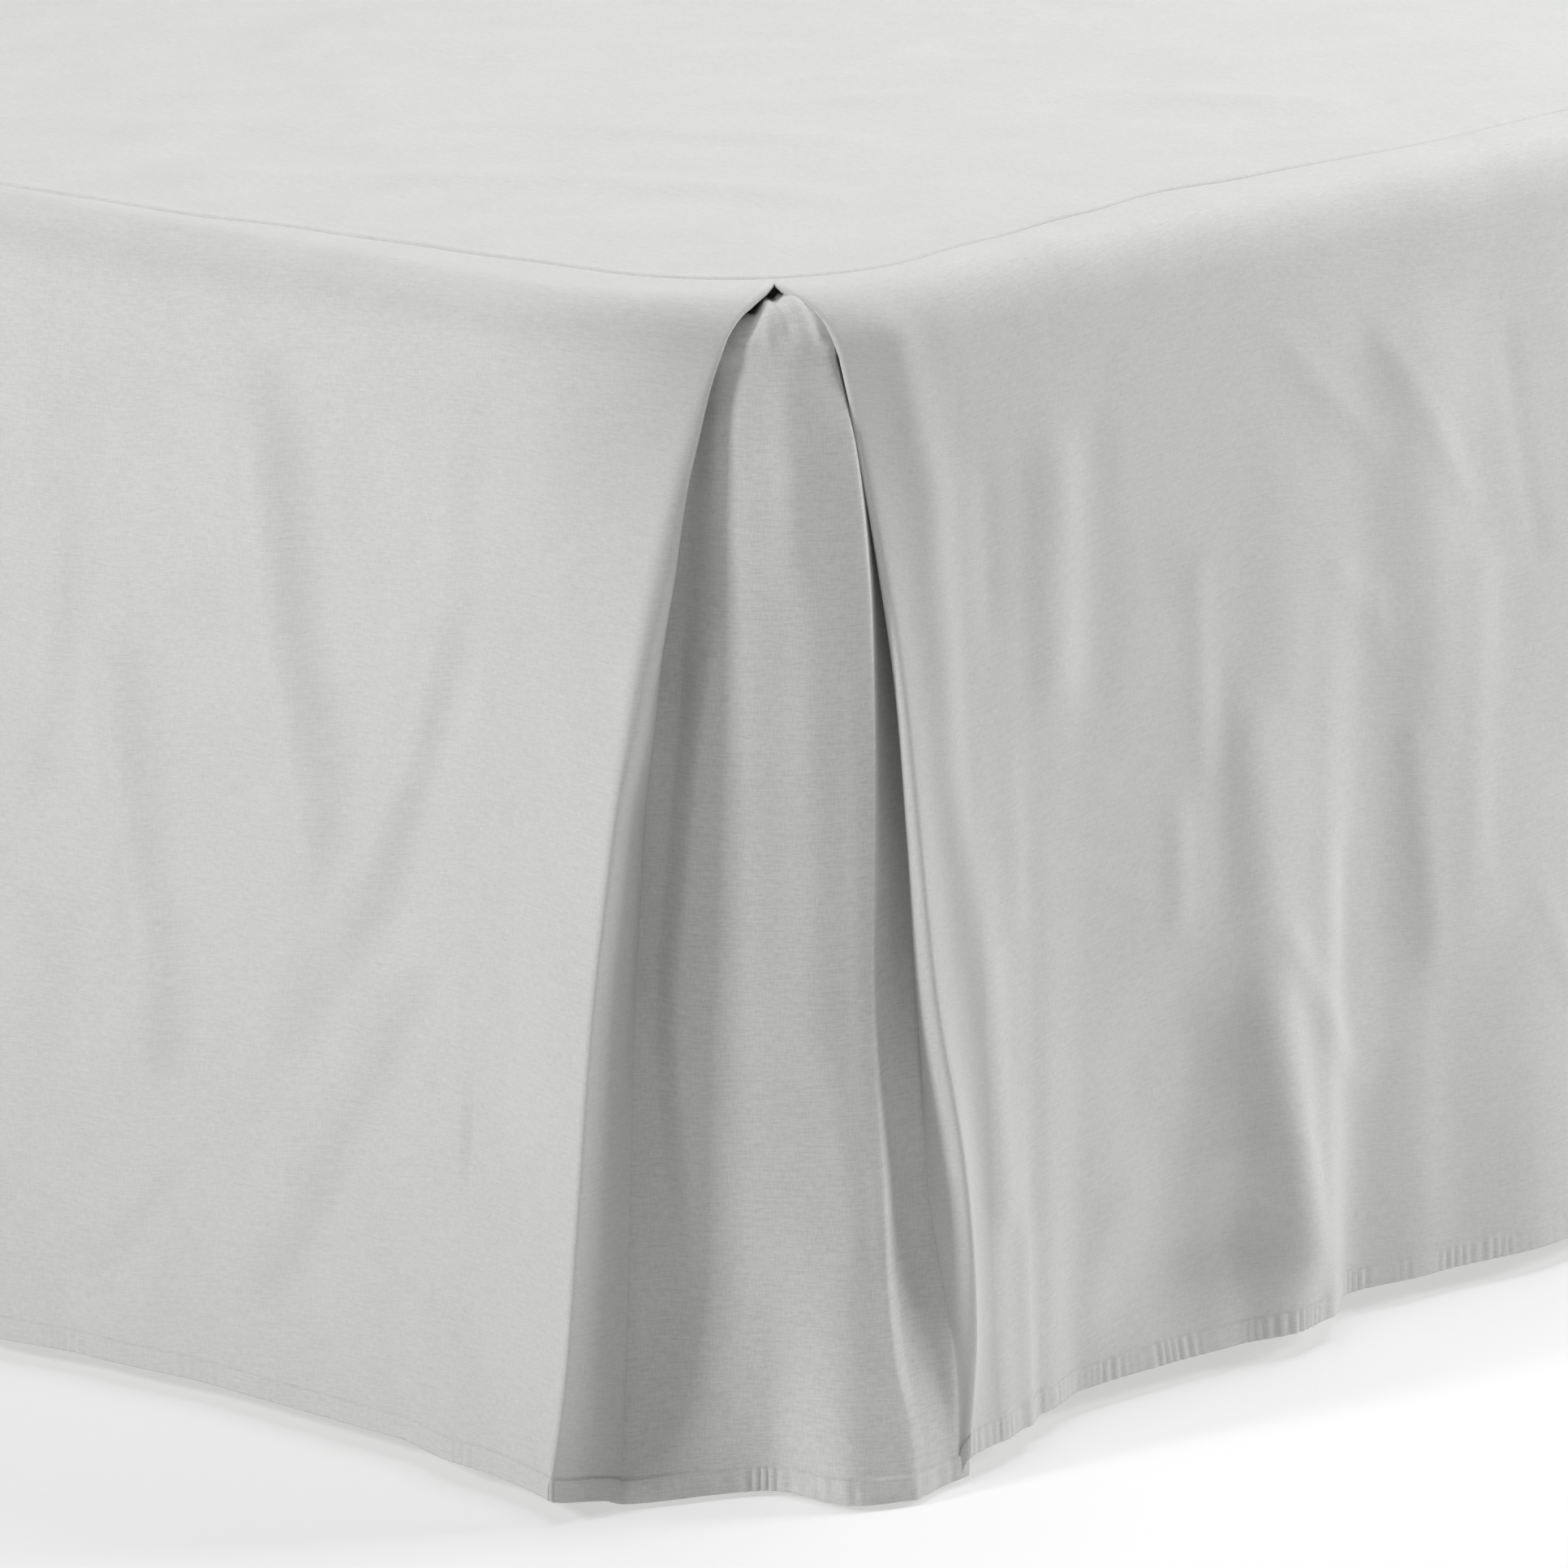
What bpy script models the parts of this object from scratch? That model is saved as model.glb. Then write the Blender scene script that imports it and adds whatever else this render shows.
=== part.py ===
"""Bed skirt over a plain bed base.

A flat deck of cloth lies on the base, three panels fall from its seam over the
rounded edge of the base, and each foot corner opens in an inverted pleat with
a separate insert behind it. Metres, +Z up, the foot end at -Y, the head at +Y.
Each cloth is first an open surface, a grid of points with columns along the
bed and rows down the drop, and Solidify then gives it the cloth's thickness.
"""
import math

import bmesh
import bpy
from mathutils import Vector

# Driving dimensions -------------------------------------------------------
BED_WIDTH = 1.60           # over the hanging cloth, side to side
BED_LENGTH = 2.00          # over the hanging cloth, foot to head
DECK_HEIGHT = 0.53         # middle of the deck cloth above the floor
HEM_HEIGHT = 0.012         # hems of the panels above the floor
INSERT_HEM_HEIGHT = 0.003  # hems of the pleat inserts, a little lower
CLOTH = 0.0012             # thickness of one layer
PIECE_GAP = 0.0003         # between pieces that touch
EDGE_CLEARANCE = 0.002     # between hanging cloth and the base
ROLL_RADIUS = 0.028        # of the cloth where it rolls over the edge
SEAM_CORNER_RADIUS = 0.095  # of the deck's seam at the foot corners
EASE = 0.003               # how far the cloth stands off the base below the roll
EASE_BY = 0.12             # part of the drop by which it does
HANG_POWER = 1.5           # how late the outward swing of the hem begins
INWARD_LIMIT = 0.008       # how far a hem may hang inside the bed's face
INWARD_FROM = 0.70         # part of the drop that is past the base

BASE_BOTTOM = 0.19         # underside of the base above the floor
BASE_CORNER_RADIUS = 0.20  # of the base, seen from above
LEG_RADIUS = 0.030
LEG_ROWS = (-0.82, 0.0, 0.82)   # places of the legs along the bed
LEG_SPREAD = 0.70          # of the legs from the middle line

COLUMN_STEP = 0.024        # along the panels near the foot corners
FAR_COLUMN_STEP = 0.052    # along the panels elsewhere
FINE_REACH = 0.60          # how far from a corner the fine columns go
ARC_COLUMNS = 8            # round the corner, up to the pleat
RETURN_COLUMNS = 8         # round the fold and along the return
ROLL_STEPS = 4             # rows over the rounded edge
HANG_ROWS = (0.06, 0.12, 0.21, 0.32, 0.43, 0.54, 0.63, 0.73, 0.86, 1.0)

# The seam between deck and panels wanders: its distance in from the hanging
# cloth, by the place along the bed measured from the outer corner.
FOOT_SEAM = (              # place, inset
    (0.13, 0.061), (0.20, 0.054), (0.28, 0.047), (0.36, 0.036), (0.46, 0.033), (0.80, 0.042))
SIDE_SEAM = (              # place, inset
    (0.156, 0.038), (0.22, 0.045), (0.30, 0.054), (0.36, 0.061), (0.42, 0.054),
    (0.54, 0.046), (0.66, 0.051), (1.10, 0.044), (1.60, 0.050), (2.00, 0.046))

# How far out each hem swings, by the place from the right or foot corner.
FOOT_HEM = (               # place, swing
    (0.13, 0.024), (0.18, 0.013), (0.24, 0.011), (0.30, 0.009), (0.36, 0.013), (0.43, 0.022),
    (0.52, 0.014), (0.62, 0.020), (0.74, 0.010), (0.86, 0.019), (0.98, 0.011), (1.10, 0.021),
    (1.20, 0.012), (1.32, 0.010), (1.40, 0.014), (1.47, 0.024))
SIDE_HEM_RIGHT = (         # place, swing
    (0.156, 0.025), (0.18, 0.019), (0.20, 0.010), (0.24, 0.000), (0.34, 0.008), (0.375, 0.016),
    (0.40, 0.012), (0.44, -0.008), (0.49, 0.001), (0.56, 0.012), (0.66, 0.006), (0.78, 0.016),
    (0.90, 0.005), (1.04, 0.015), (1.20, 0.006), (1.36, 0.017), (1.52, 0.006), (1.68, 0.014),
    (1.84, 0.006), (2.00, 0.011))
SIDE_HEM_LEFT = (          # place, swing
    (0.156, 0.025), (0.21, 0.010), (0.27, 0.004), (0.36, 0.013), (0.46, 0.003), (0.58, 0.014),
    (0.72, 0.006), (0.84, 0.013), (0.98, 0.004), (1.12, 0.016), (1.28, 0.007), (1.42, 0.013),
    (1.60, 0.004), (1.76, 0.014), (1.90, 0.007), (2.00, 0.010))

# Soft folds, each along a line from one place and drop to another. A rise
# above zero is a ridge and one below zero a trough.
FOOT_FOLDS = (             # half width, rise, then places and drops along the fold
    (0.018, 0.0075, (0.262, 0.050), (0.252, 0.140), (0.245, 0.200), (0.236, 0.250), (0.222, 0.295)),
    (0.016, 0.0035, (0.222, 0.295), (0.247, 0.360), (0.270, 0.410)),
    (0.015, 0.0065, (0.143, 0.080), (0.145, 0.170), (0.157, 0.210), (0.180, 0.290), (0.215, 0.345)),
    (0.016, -0.0050, (0.155, 0.365), (0.172, 0.400), (0.205, 0.455), (0.228, 0.490)),
    (0.015, 0.0065, (0.348, 0.220), (0.342, 0.270), (0.325, 0.350), (0.325, 0.390)),
    (0.015, 0.0050, (0.382, 0.150), (0.386, 0.200), (0.397, 0.260)),
    (0.034, 0.0060, (0.560, 0.120), (0.530, 0.400)),
    (0.036, 0.0050, (0.680, 0.260), (0.700, 0.480)),
    (0.034, 0.0060, (0.860, 0.090), (0.880, 0.360)),
    (0.038, 0.0060, (1.010, 0.200), (0.970, 0.430)),
    (0.032, 0.0060, (1.190, 0.110), (1.230, 0.380)),
    (0.030, 0.0050, (1.350, 0.080), (1.380, 0.340)))
SIDE_FOLDS_RIGHT = (       # half width, rise, then places and drops along the fold
    (0.020, 0.0115, (0.352, 0.280), (0.358, 0.330), (0.364, 0.380), (0.382, 0.470), (0.392, 0.520)),
    (0.034, -0.0070, (0.296, 0.390), (0.306, 0.520)),
    (0.022, -0.0040, (0.275, 0.515), (0.360, 0.515)),
    (0.014, -0.0045, (0.230, 0.130), (0.231, 0.200)),
    (0.034, 0.0050, (0.470, 0.120), (0.500, 0.380)),
    (0.036, 0.0070, (0.700, 0.220), (0.690, 0.480)),
    (0.040, 0.0060, (0.930, 0.100), (0.960, 0.360)),
    (0.040, 0.0070, (1.200, 0.160), (1.160, 0.460)),
    (0.038, 0.0060, (1.470, 0.090), (1.500, 0.380)),
    (0.040, 0.0060, (1.750, 0.200), (1.720, 0.480)))
SIDE_FOLDS_LEFT = (        # half width, rise, then places and drops along the fold
    (0.026, 0.0060, (0.250, 0.120), (0.230, 0.330)),
    (0.034, 0.0080, (0.430, 0.240), (0.460, 0.500)),
    (0.038, 0.0060, (0.640, 0.090), (0.610, 0.340)),
    (0.038, 0.0070, (0.880, 0.200), (0.910, 0.460)),
    (0.040, 0.0060, (1.160, 0.110), (1.130, 0.390)),
    (0.040, 0.0070, (1.430, 0.220), (1.470, 0.500)),
    (0.038, 0.0060, (1.720, 0.100), (1.700, 0.380)))

# The pleat. It faces this far round from the foot end, and its two folds part
# from one meeting point. A fold turns back into a return, whose end lies
# behind the panel where its reach is below zero and in the opening past it.
PLEAT_FACING = math.radians(41.5)
MEETING_OFFSET = 0.0198    # of the meeting point, sideways from the corner's centre
MEETING_GAP = 0.0004       # between each panel and the meeting point
PLEAT_LEVELS = (
    # drop, foot gap, side gap, foot out, side out, foot reach, foot depth, side reach, side depth
    (0.000, 0.0000, 0.0000, 0.0518, 0.0334, -0.020, 0.0012, -0.020, 0.0012),
    (0.010, 0.0002, 0.0014, 0.0518, 0.0334, -0.020, 0.0028, -0.020, 0.0028),
    (0.020, 0.0022, 0.0038, 0.0518, 0.0334, -0.020, 0.0058, -0.020, 0.0058),
    (0.025, 0.0039, 0.0062, 0.0518, 0.0334, -0.020, 0.0066, -0.020, 0.0066),
    (0.030, 0.0063, 0.0090, 0.0518, 0.0334, -0.020, 0.0072, -0.020, 0.0072),
    (0.036, 0.0100, 0.0140, 0.0518, 0.0334, -0.020, 0.0076, -0.020, 0.0076),
    (0.042, 0.0148, 0.0187, 0.0518, 0.0334, -0.0205, 0.0078, -0.0205, 0.0080),
    (0.052, 0.0206, 0.0258, 0.0518, 0.0334, -0.0208, 0.0078, -0.0212, 0.0085),
    (0.067, 0.0270, 0.0321, 0.0518, 0.0334, -0.0210, 0.0078, -0.0218, 0.0095),
    (0.104, 0.0400, 0.0387, 0.0620, 0.0360, -0.0198, 0.0106, -0.0250, 0.0107),
    (0.160, 0.0545, 0.0493, 0.0710, 0.0350, -0.0139, 0.0246, -0.0257, 0.0127),
    (0.210, 0.0640, 0.0569, 0.0775, 0.0345, -0.0008, 0.0386, -0.0250, 0.0144),
    (0.270, 0.0732, 0.0630, 0.0840, 0.0350, 0.0009, 0.0492, -0.0215, 0.0174),
    (0.350, 0.0818, 0.0712, 0.0890, 0.0330, 0.0036, 0.0526, -0.0126, 0.0174),
    (0.430, 0.0877, 0.0840, 0.0930, 0.0280, 0.0087, 0.0501, 0.0020, 0.0094),
    (0.500, 0.0923, 0.0888, 0.0960, 0.0290, 0.0155, 0.0427, 0.0075, 0.0049),
    (0.550, 0.0975, 0.0860, 0.0985, 0.0350, 0.0241, 0.0328, 0.0048, 0.0012))
FOLD_BULGES = (            # drop, foot and side: how far a return swells past its fold
    (0.000, 0.002, 0.002), (0.052, 0.004, 0.006), (0.067, 0.006, 0.006), (0.104, 0.011, 0.006),
    (0.160, 0.017, 0.006), (0.210, 0.018, 0.006), (0.270, 0.008, 0.006), (0.350, 0.004, 0.006),
    (0.500, 0.004, 0.005), (0.550, 0.004, 0.004))
SEAM_LAP = CLOTH + PIECE_GAP  # the insert lies behind a return's end by this
SEAM_AHEAD = 0.0012        # and begins this far past it towards the opening
FLARE_POWER = 2.2          # how late round the corner a panel swings out to its fold
INSERT_LEVELS = (          # drop, then aside and out of seven folds from foot to side
    (0.067, ((-0.030, 0.0395), (-0.021, 0.0420), (-0.004, 0.0435), (0.014, 0.0390),
             (0.0235, 0.0295), (0.0265, 0.019), (0.038, 0.014))),
    (0.104, ((-0.034, 0.0420), (-0.023, 0.0475), (-0.005, 0.0500), (0.018, 0.0470),
             (0.0300, 0.0390), (0.0333, 0.024), (0.044, 0.014))),
    (0.160, ((-0.040, 0.0370), (-0.019, 0.0490), (0.002, 0.0510), (0.022, 0.0495),
             (0.0400, 0.0440), (0.0430, 0.024), (0.052, 0.013))),
    (0.210, ((-0.041, 0.0360), (-0.028, 0.0480), (0.000, 0.0500), (0.022, 0.0490),
             (0.0420, 0.0460), (0.0455, 0.024), (0.055, 0.013))),
    (0.270, ((-0.046, 0.0370), (-0.034, 0.0475), (0.000, 0.0500), (0.024, 0.0490),
             (0.0430, 0.0475), (0.0475, 0.025), (0.057, 0.014))),
    (0.350, ((-0.052, 0.0390), (-0.041, 0.0500), (-0.004, 0.0510), (0.024, 0.0500),
             (0.0440, 0.0505), (0.0510, 0.028), (0.060, 0.017))),
    (0.430, ((-0.048, 0.0445), (-0.036, 0.0510), (-0.004, 0.0520), (0.022, 0.0520),
             (0.0470, 0.0550), (0.0570, 0.038), (0.067, 0.028))),
    (0.500, ((-0.045, 0.0560), (-0.026, 0.0555), (-0.002, 0.0535), (0.028, 0.0590),
             (0.0530, 0.0640), (0.0620, 0.053), (0.072, 0.042))),
    (0.555, ((-0.045, 0.0690), (-0.025, 0.0610), (-0.001, 0.0550), (0.034, 0.0770),
             (0.0600, 0.0680), (0.0700, 0.056), (0.0770, 0.045))))
INSERT_STRETCHES = (3, 2, 3, 2, 3, 3, 2, 3)  # columns from fold to fold
INSERT_TOP_ROLL = math.radians(12)  # round the edge, where the insert begins
INSERT_TOP_DEPTH = 0.0055  # of the insert's top edge behind the panels

# Derived sizes ------------------------------------------------------------
HALF_WIDTH = BED_WIDTH / 2
FOOT_FACE = -BED_LENGTH / 2
HEAD_EDGE = BED_LENGTH / 2
CORNER_X = HALF_WIDTH - SIDE_SEAM[0][1] - SEAM_CORNER_RADIUS
CORNER_Y = FOOT_FACE + FOOT_SEAM[0][1] + SEAM_CORNER_RADIUS
ROLL_END = DECK_HEIGHT - ROLL_RADIUS
QUARTER = math.pi / 2

MATERIALS = {              # colour, roughness, metallic
    "linen": ((0.60, 0.60, 0.585), 0.85, 0.0),
    "base_cloth": ((0.42, 0.41, 0.39), 0.9, 0.0),
    "leg_wood": ((0.30, 0.20, 0.12), 0.5, 0.0)}


# Curves and tables --------------------------------------------------------
def ease(part):
    """0 to 1, level at both ends."""
    part = min(1.0, max(0.0, part))
    return part * part * (3 - 2 * part)


def table(rows, place, column=1):
    """The value at a place, passing smoothly from each row to the next."""
    if place <= rows[0][0]:
        return rows[0][column]
    for low, high in zip(rows, rows[1:]):
        if place <= high[0]:
            part = (place - low[0]) / (high[0] - low[0])
            return low[column] + (high[column] - low[column]) * ease(part)
    return rows[-1][column]


def flowing(rows, place, column):
    """The value at a place on one smooth curve through all rows."""
    if place <= rows[0][0]:
        return rows[0][column]
    if place >= rows[-1][0]:
        return rows[-1][column]
    index = max(number for number, row in enumerate(rows) if row[0] <= place)
    start, end = rows[index], rows[index + 1]
    before, after = rows[max(0, index - 1)], rows[min(len(rows) - 1, index + 2)]
    width = end[0] - start[0]
    slope_in = (end[column] - before[column]) / (end[0] - before[0]) * width
    slope_out = (after[column] - start[column]) / (after[0] - start[0]) * width
    part = (place - start[0]) / width
    return ((2 * part ** 3 - 3 * part ** 2 + 1) * start[column] + (part ** 3 - 2 * part ** 2 + part) * slope_in
            + (3 * part ** 2 - 2 * part ** 3) * end[column] + (part ** 3 - part ** 2) * slope_out)


def steady(rows, place, column=1):
    """The value at a place on a smooth curve that never swings past its rows."""
    if place <= rows[0][0]:
        return rows[0][column]
    if place >= rows[-1][0]:
        return rows[-1][column]
    index = max(number for number, row in enumerate(rows) if row[0] <= place)
    climbs = [(high[column] - low[column]) / (high[0] - low[0]) for low, high in zip(rows, rows[1:])]
    slopes = [2 * low * high / (low + high) if low * high > 0 else 0.0 for low, high in zip(climbs, climbs[1:])]
    slopes = [climbs[0]] + slopes + [climbs[-1]]
    start, end = rows[index], rows[index + 1]
    width = end[0] - start[0]
    part = (place - start[0]) / width
    return ((2 * part ** 3 - 3 * part ** 2 + 1) * start[column]
            + (part ** 3 - 2 * part ** 2 + part) * width * slopes[index]
            + (3 * part ** 2 - 2 * part ** 3) * end[column] + (part ** 3 - part ** 2) * width * slopes[index + 1])


def fold_rise(folds, place, drop):
    """All soft folds together at one spot of a panel."""
    rise = 0.0
    for half_width, height, *course in folds:
        nearest = 3 * half_width
        for (place_a, drop_a), (place_b, drop_b) in zip(course, course[1:]):
            if not min(place_a, place_b) - nearest < place < max(place_a, place_b) + nearest:
                continue
            along_place, along_drop = place_b - place_a, drop_b - drop_a
            off_place, off_drop = place - place_a, drop - drop_a
            part = (off_place * along_place + off_drop * along_drop) / (along_place ** 2 + along_drop ** 2)
            part = min(1.0, max(0.0, part))
            nearest = min(nearest, math.hypot(off_place - along_place * part, off_drop - along_drop * part))
        rise += height * math.exp(-(nearest / half_width) ** 2)
    return rise


# The rows of a cloth ------------------------------------------------------
def cloth_rows(hang_rows):
    """Rows from the seam to the hem, each a stretch and the part of it."""
    rows = [("flat", 0.0)]
    rows += [("roll", step / ROLL_STEPS) for step in range(ROLL_STEPS + 1)]
    return rows + [("hang", part) for part in hang_rows]


def row_drop(row, inset):
    """Length of cloth between the seam and a row."""
    stretch, part = row
    flat = inset - ROLL_RADIUS
    if stretch == "flat":
        return flat * part
    if stretch == "roll":
        return flat + ROLL_RADIUS * QUARTER * part
    return flat + ROLL_RADIUS * QUARTER + (ROLL_END - HEM_HEIGHT) * part


def row_place(row, inset, swing, depth=0.0, hem=HEM_HEIGHT):
    """Distance out from the seam and height of a row, depth inside its face."""
    stretch, part = row
    flat = inset - ROLL_RADIUS
    if stretch == "flat":
        return flat * part, DECK_HEIGHT - depth
    if stretch == "roll":
        angle = QUARTER * part
        radius = ROLL_RADIUS - depth
        return flat + radius * math.sin(angle), ROLL_END + radius * math.cos(angle)
    return inset + swing - depth, ROLL_END - (ROLL_END - hem) * part


def hang_swing(row, hem_swing, rise=0.0):
    """How far a hanging row stands outside the bed's face."""
    stretch, part = row
    if stretch != "hang":
        return 0.0
    least = -INWARD_LIMIT * ease((part - INWARD_FROM) / (1 - INWARD_FROM))
    return max(least, EASE * ease(part / EASE_BY) + hem_swing * part ** HANG_POWER + rise)


# The corner ---------------------------------------------------------------
def corner_inset(angle):
    """Seam inset round the corner: the foot's at 0, the side's at 90 degrees."""
    foot = FOOT_SEAM[0][1] * math.cos(angle) ** 2
    return foot + SIDE_SEAM[0][1] * math.sin(angle) ** 2


def level(row, column):
    """A column of PLEAT_LEVELS at the drop of a row."""
    return flowing(PLEAT_LEVELS, row_drop(row, corner_inset(PLEAT_FACING)), column)


def tip(row, side):
    """Angle and swing of the foot panel's fold (side -1) or a side panel's (side 1) at a row."""
    gap = level(row, 1 if side < 0 else 2)
    offset = MEETING_OFFSET + side * max(gap, MEETING_GAP)
    if row[0] == "hang":
        out = level(row, 3 if side < 0 else 4)
        angle = PLEAT_FACING + math.atan2(offset, SEAM_CORNER_RADIUS + out)
        return angle, math.hypot(offset, SEAM_CORNER_RADIUS + out) - SEAM_CORNER_RADIUS - corner_inset(angle)
    angle = PLEAT_FACING
    for _ in range(4):
        out, _height = row_place(row, corner_inset(angle), 0.0)
        angle = PLEAT_FACING + math.asin(offset / (SEAM_CORNER_RADIUS + out))
    return angle, 0.0


def corner_point(angle, row, swing, depth=0.0, hem=HEM_HEIGHT):
    """A point of the right foot corner, depth behind the panels' surface."""
    out, height = row_place(row, corner_inset(angle), swing, depth, hem)
    reach = SEAM_CORNER_RADIUS + out
    return Vector((CORNER_X + reach * math.sin(angle), CORNER_Y - reach * math.cos(angle), height))


def arc_columns(row, side, hem_table, folds):
    """Columns of a panel round the corner, from the straight to the fold."""
    start = 0.0 if side < 0 else QUARTER
    tip_angle, tip_swing = tip(row, side)
    first = hem_table[0]
    points = []
    for step in range(1, ARC_COLUMNS + 1):
        part = step / ARC_COLUMNS
        angle = start + (tip_angle - start) * part
        rise = fold_rise(folds, first[0], row_drop(row, first[1])) * (1 - ease(part))
        swing = hang_swing(row, first[1], rise)
        swing += (tip_swing - swing) * part ** FLARE_POWER
        points.append(corner_point(angle, row, swing))
    return points


def return_columns(row, side):
    """Columns round the fold and along the return, for hanging rows only."""
    tip_angle, swing = tip(row, side)
    radius = SEAM_CORNER_RADIUS + row_place(row, corner_inset(tip_angle), swing)[0]
    reach = level(row, 5 if side < 0 else 7)
    depth = level(row, 6 if side < 0 else 8)
    bulge = table(FOLD_BULGES, row_drop(row, corner_inset(PLEAT_FACING)), 1 if side < 0 else 2)
    shoulder = max(bulge * 0.7, reach * 0.5)
    along = (0.0, bulge, shoulder, reach)
    inward = (0.0, 0.0, depth, depth)
    points = []
    for step in range(1, RETURN_COLUMNS + 1):
        part = step / RETURN_COLUMNS
        weights = ((1 - part) ** 3, 3 * part * (1 - part) ** 2, 3 * part ** 2 * (1 - part), part ** 3)
        ahead = sum(weight * value for weight, value in zip(weights, along))
        deep = sum(weight * value for weight, value in zip(weights, inward))
        hem = HEM_HEIGHT + (INSERT_HEM_HEIGHT - HEM_HEIGHT) * part
        points.append(corner_point(tip_angle - side * ahead / radius, row, swing, deep, hem))
    return points


# The panels ---------------------------------------------------------------
def column_places(length, fine_from_both_ends):
    """Places of the straight columns, closer together near a foot corner."""
    places = [0.0]
    while places[-1] < length:
        near = places[-1]
        if fine_from_both_ends:
            near = min(near, length - near)
        places.append(places[-1] + (COLUMN_STEP if near < FINE_REACH else FAR_COLUMN_STEP))
    scale = length / places[-1]
    return [place * scale for place in places]


def foot_grid():
    """The foot panel, from the right return to the left one."""
    right_start = HALF_WIDTH - CORNER_X
    places = [right_start + place for place in column_places(2 * CORNER_X, True)]
    grid = []
    for row in cloth_rows(HANG_ROWS):
        hanging = row[0] == "hang"
        corner = arc_columns(row, -1, FOOT_HEM, FOOT_FOLDS)
        if hanging:
            corner += return_columns(row, -1)
        else:
            corner += [None] * RETURN_COLUMNS
        middle = []
        for place in places:
            inset = table(FOOT_SEAM, min(place, BED_WIDTH - place))
            rise = fold_rise(FOOT_FOLDS, place, row_drop(row, inset))
            swing = hang_swing(row, table(FOOT_HEM, place), rise)
            out, height = row_place(row, inset, swing)
            middle.append(Vector((HALF_WIDTH - place, FOOT_FACE + inset - out, height)))
        mirrored = [point and Vector((-point.x, point.y, point.z)) for point in corner]
        grid.append(corner[::-1] + middle + mirrored)
    return grid


def side_grid(hem_table, folds):
    """A right side panel, from its return to the head end."""
    start = CORNER_Y - FOOT_FACE
    places = [start + place for place in column_places(HEAD_EDGE - CORNER_Y, False)]
    grid = []
    for row in cloth_rows(HANG_ROWS):
        corner = arc_columns(row, 1, hem_table, folds)
        if row[0] == "hang":
            corner += return_columns(row, 1)
        else:
            corner += [None] * RETURN_COLUMNS
        middle = []
        for place in places:
            inset = table(SIDE_SEAM, place)
            rise = fold_rise(folds, place, row_drop(row, inset))
            swing = hang_swing(row, table(hem_table, place), rise)
            out, height = row_place(row, inset, swing)
            middle.append(Vector((HALF_WIDTH - inset + out, FOOT_FACE + place, height)))
        grid.append(corner[::-1] + middle)
    return grid


def return_end(row, side):
    """Aside and out of the insert's edge behind the end of a return."""
    tip_angle, swing = tip(row, side)
    radius = SEAM_CORNER_RADIUS + row_place(row, corner_inset(tip_angle), swing)[0]
    angle = tip_angle - side * (level(row, 5 if side < 0 else 7) + SEAM_AHEAD) / radius
    radius = SEAM_CORNER_RADIUS + row_place(row, corner_inset(angle), swing)[0]
    radius -= level(row, 6 if side < 0 else 8) + SEAM_LAP
    angle -= PLEAT_FACING
    return radius * math.sin(angle) - MEETING_OFFSET, radius * math.cos(angle) - SEAM_CORNER_RADIUS


def insert_section(row):
    """Aside and out of every column of the insert at a hanging row."""
    drop = row_drop(row, corner_inset(PLEAT_FACING))
    folds = []
    for number in range(len(INSERT_LEVELS[0][1])):
        course = [(level_drop, *spots[number]) for level_drop, spots in INSERT_LEVELS]
        folds.append((flowing(course, drop, 1), flowing(course, drop, 2)))
    folds = [return_end(row, -1)] + folds + [return_end(row, 1)]
    section = []
    for (low, _out), (high, _out_high), steps in zip(folds, folds[1:], INSERT_STRETCHES):
        for step in range(steps):
            aside = low + (high - low) * step / steps
            section.append((aside, steady(folds, aside)))
    return section + folds[-1:]


def insert_grid():
    """The insert of the right pleat, from the foot panel's return to the side's."""
    rows = [("roll", part) for part in (INSERT_TOP_ROLL / QUARTER, 0.5, 1.0)]
    rows += [row for row in cloth_rows(HANG_ROWS) if row[0] == "hang"]
    grid = []
    for row in rows:
        points = []
        for aside, out in insert_section(row if row[0] == "hang" else ("hang", 0.0)):
            angle = PLEAT_FACING + math.atan2(aside + MEETING_OFFSET, SEAM_CORNER_RADIUS + out)
            reach = math.hypot(aside + MEETING_OFFSET, SEAM_CORNER_RADIUS + out)
            depth = SEAM_CORNER_RADIUS + corner_inset(angle) - reach
            if row[0] == "roll":
                depth = INSERT_TOP_DEPTH + (depth - INSERT_TOP_DEPTH) * row[1]
            points.append(corner_point(angle, row, 0.0, depth, INSERT_HEM_HEIGHT))
        grid.append(points)
    return grid


# Building -----------------------------------------------------------------
def material(name):
    colour, roughness, metallic = MATERIALS[name]
    made = bpy.data.materials.get(name) or bpy.data.materials.new(name)
    made.use_nodes = True
    shader = made.node_tree.nodes["Principled BSDF"]
    shader.inputs["Base Color"].default_value = (*colour, 1.0)
    shader.inputs["Roughness"].default_value = roughness
    shader.inputs["Metallic"].default_value = metallic
    return made


def add_object(name, mesh, material_name):
    made = bpy.data.objects.new(name, mesh)
    made.data.materials.clear()
    made.data.materials.append(material(material_name))
    return made


def solidify(cloth):
    shell = cloth.modifiers.new("cloth thickness", "SOLIDIFY")
    shell.thickness = CLOTH
    shell.offset = 0.0
    return cloth


def grid_cloth(name, grid, flip=False):
    """A cloth from a grid of points. Places with no point are left open."""
    bm = bmesh.new()
    rows = []
    for line in grid:
        row = []
        for point in line:
            if point is None:
                row.append(None)
            else:
                row.append(bm.verts.new((-point.x if flip else point.x, point.y, point.z)))
        rows.append(row)
    for upper, lower in zip(rows, rows[1:]):
        for column in range(len(upper) - 1):
            corners = (upper[column], upper[column + 1], lower[column + 1], lower[column])
            if all(corners):
                bm.faces.new(corners[::-1] if flip else corners)
    loose = [vert for vert in bm.verts if not vert.link_faces]
    bmesh.ops.delete(bm, geom=loose, context="VERTS")
    mesh = bpy.data.meshes.new(name)
    bm.to_mesh(mesh)
    bm.free()
    mesh.shade_smooth()
    return solidify(add_object(name, mesh, "linen"))


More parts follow.
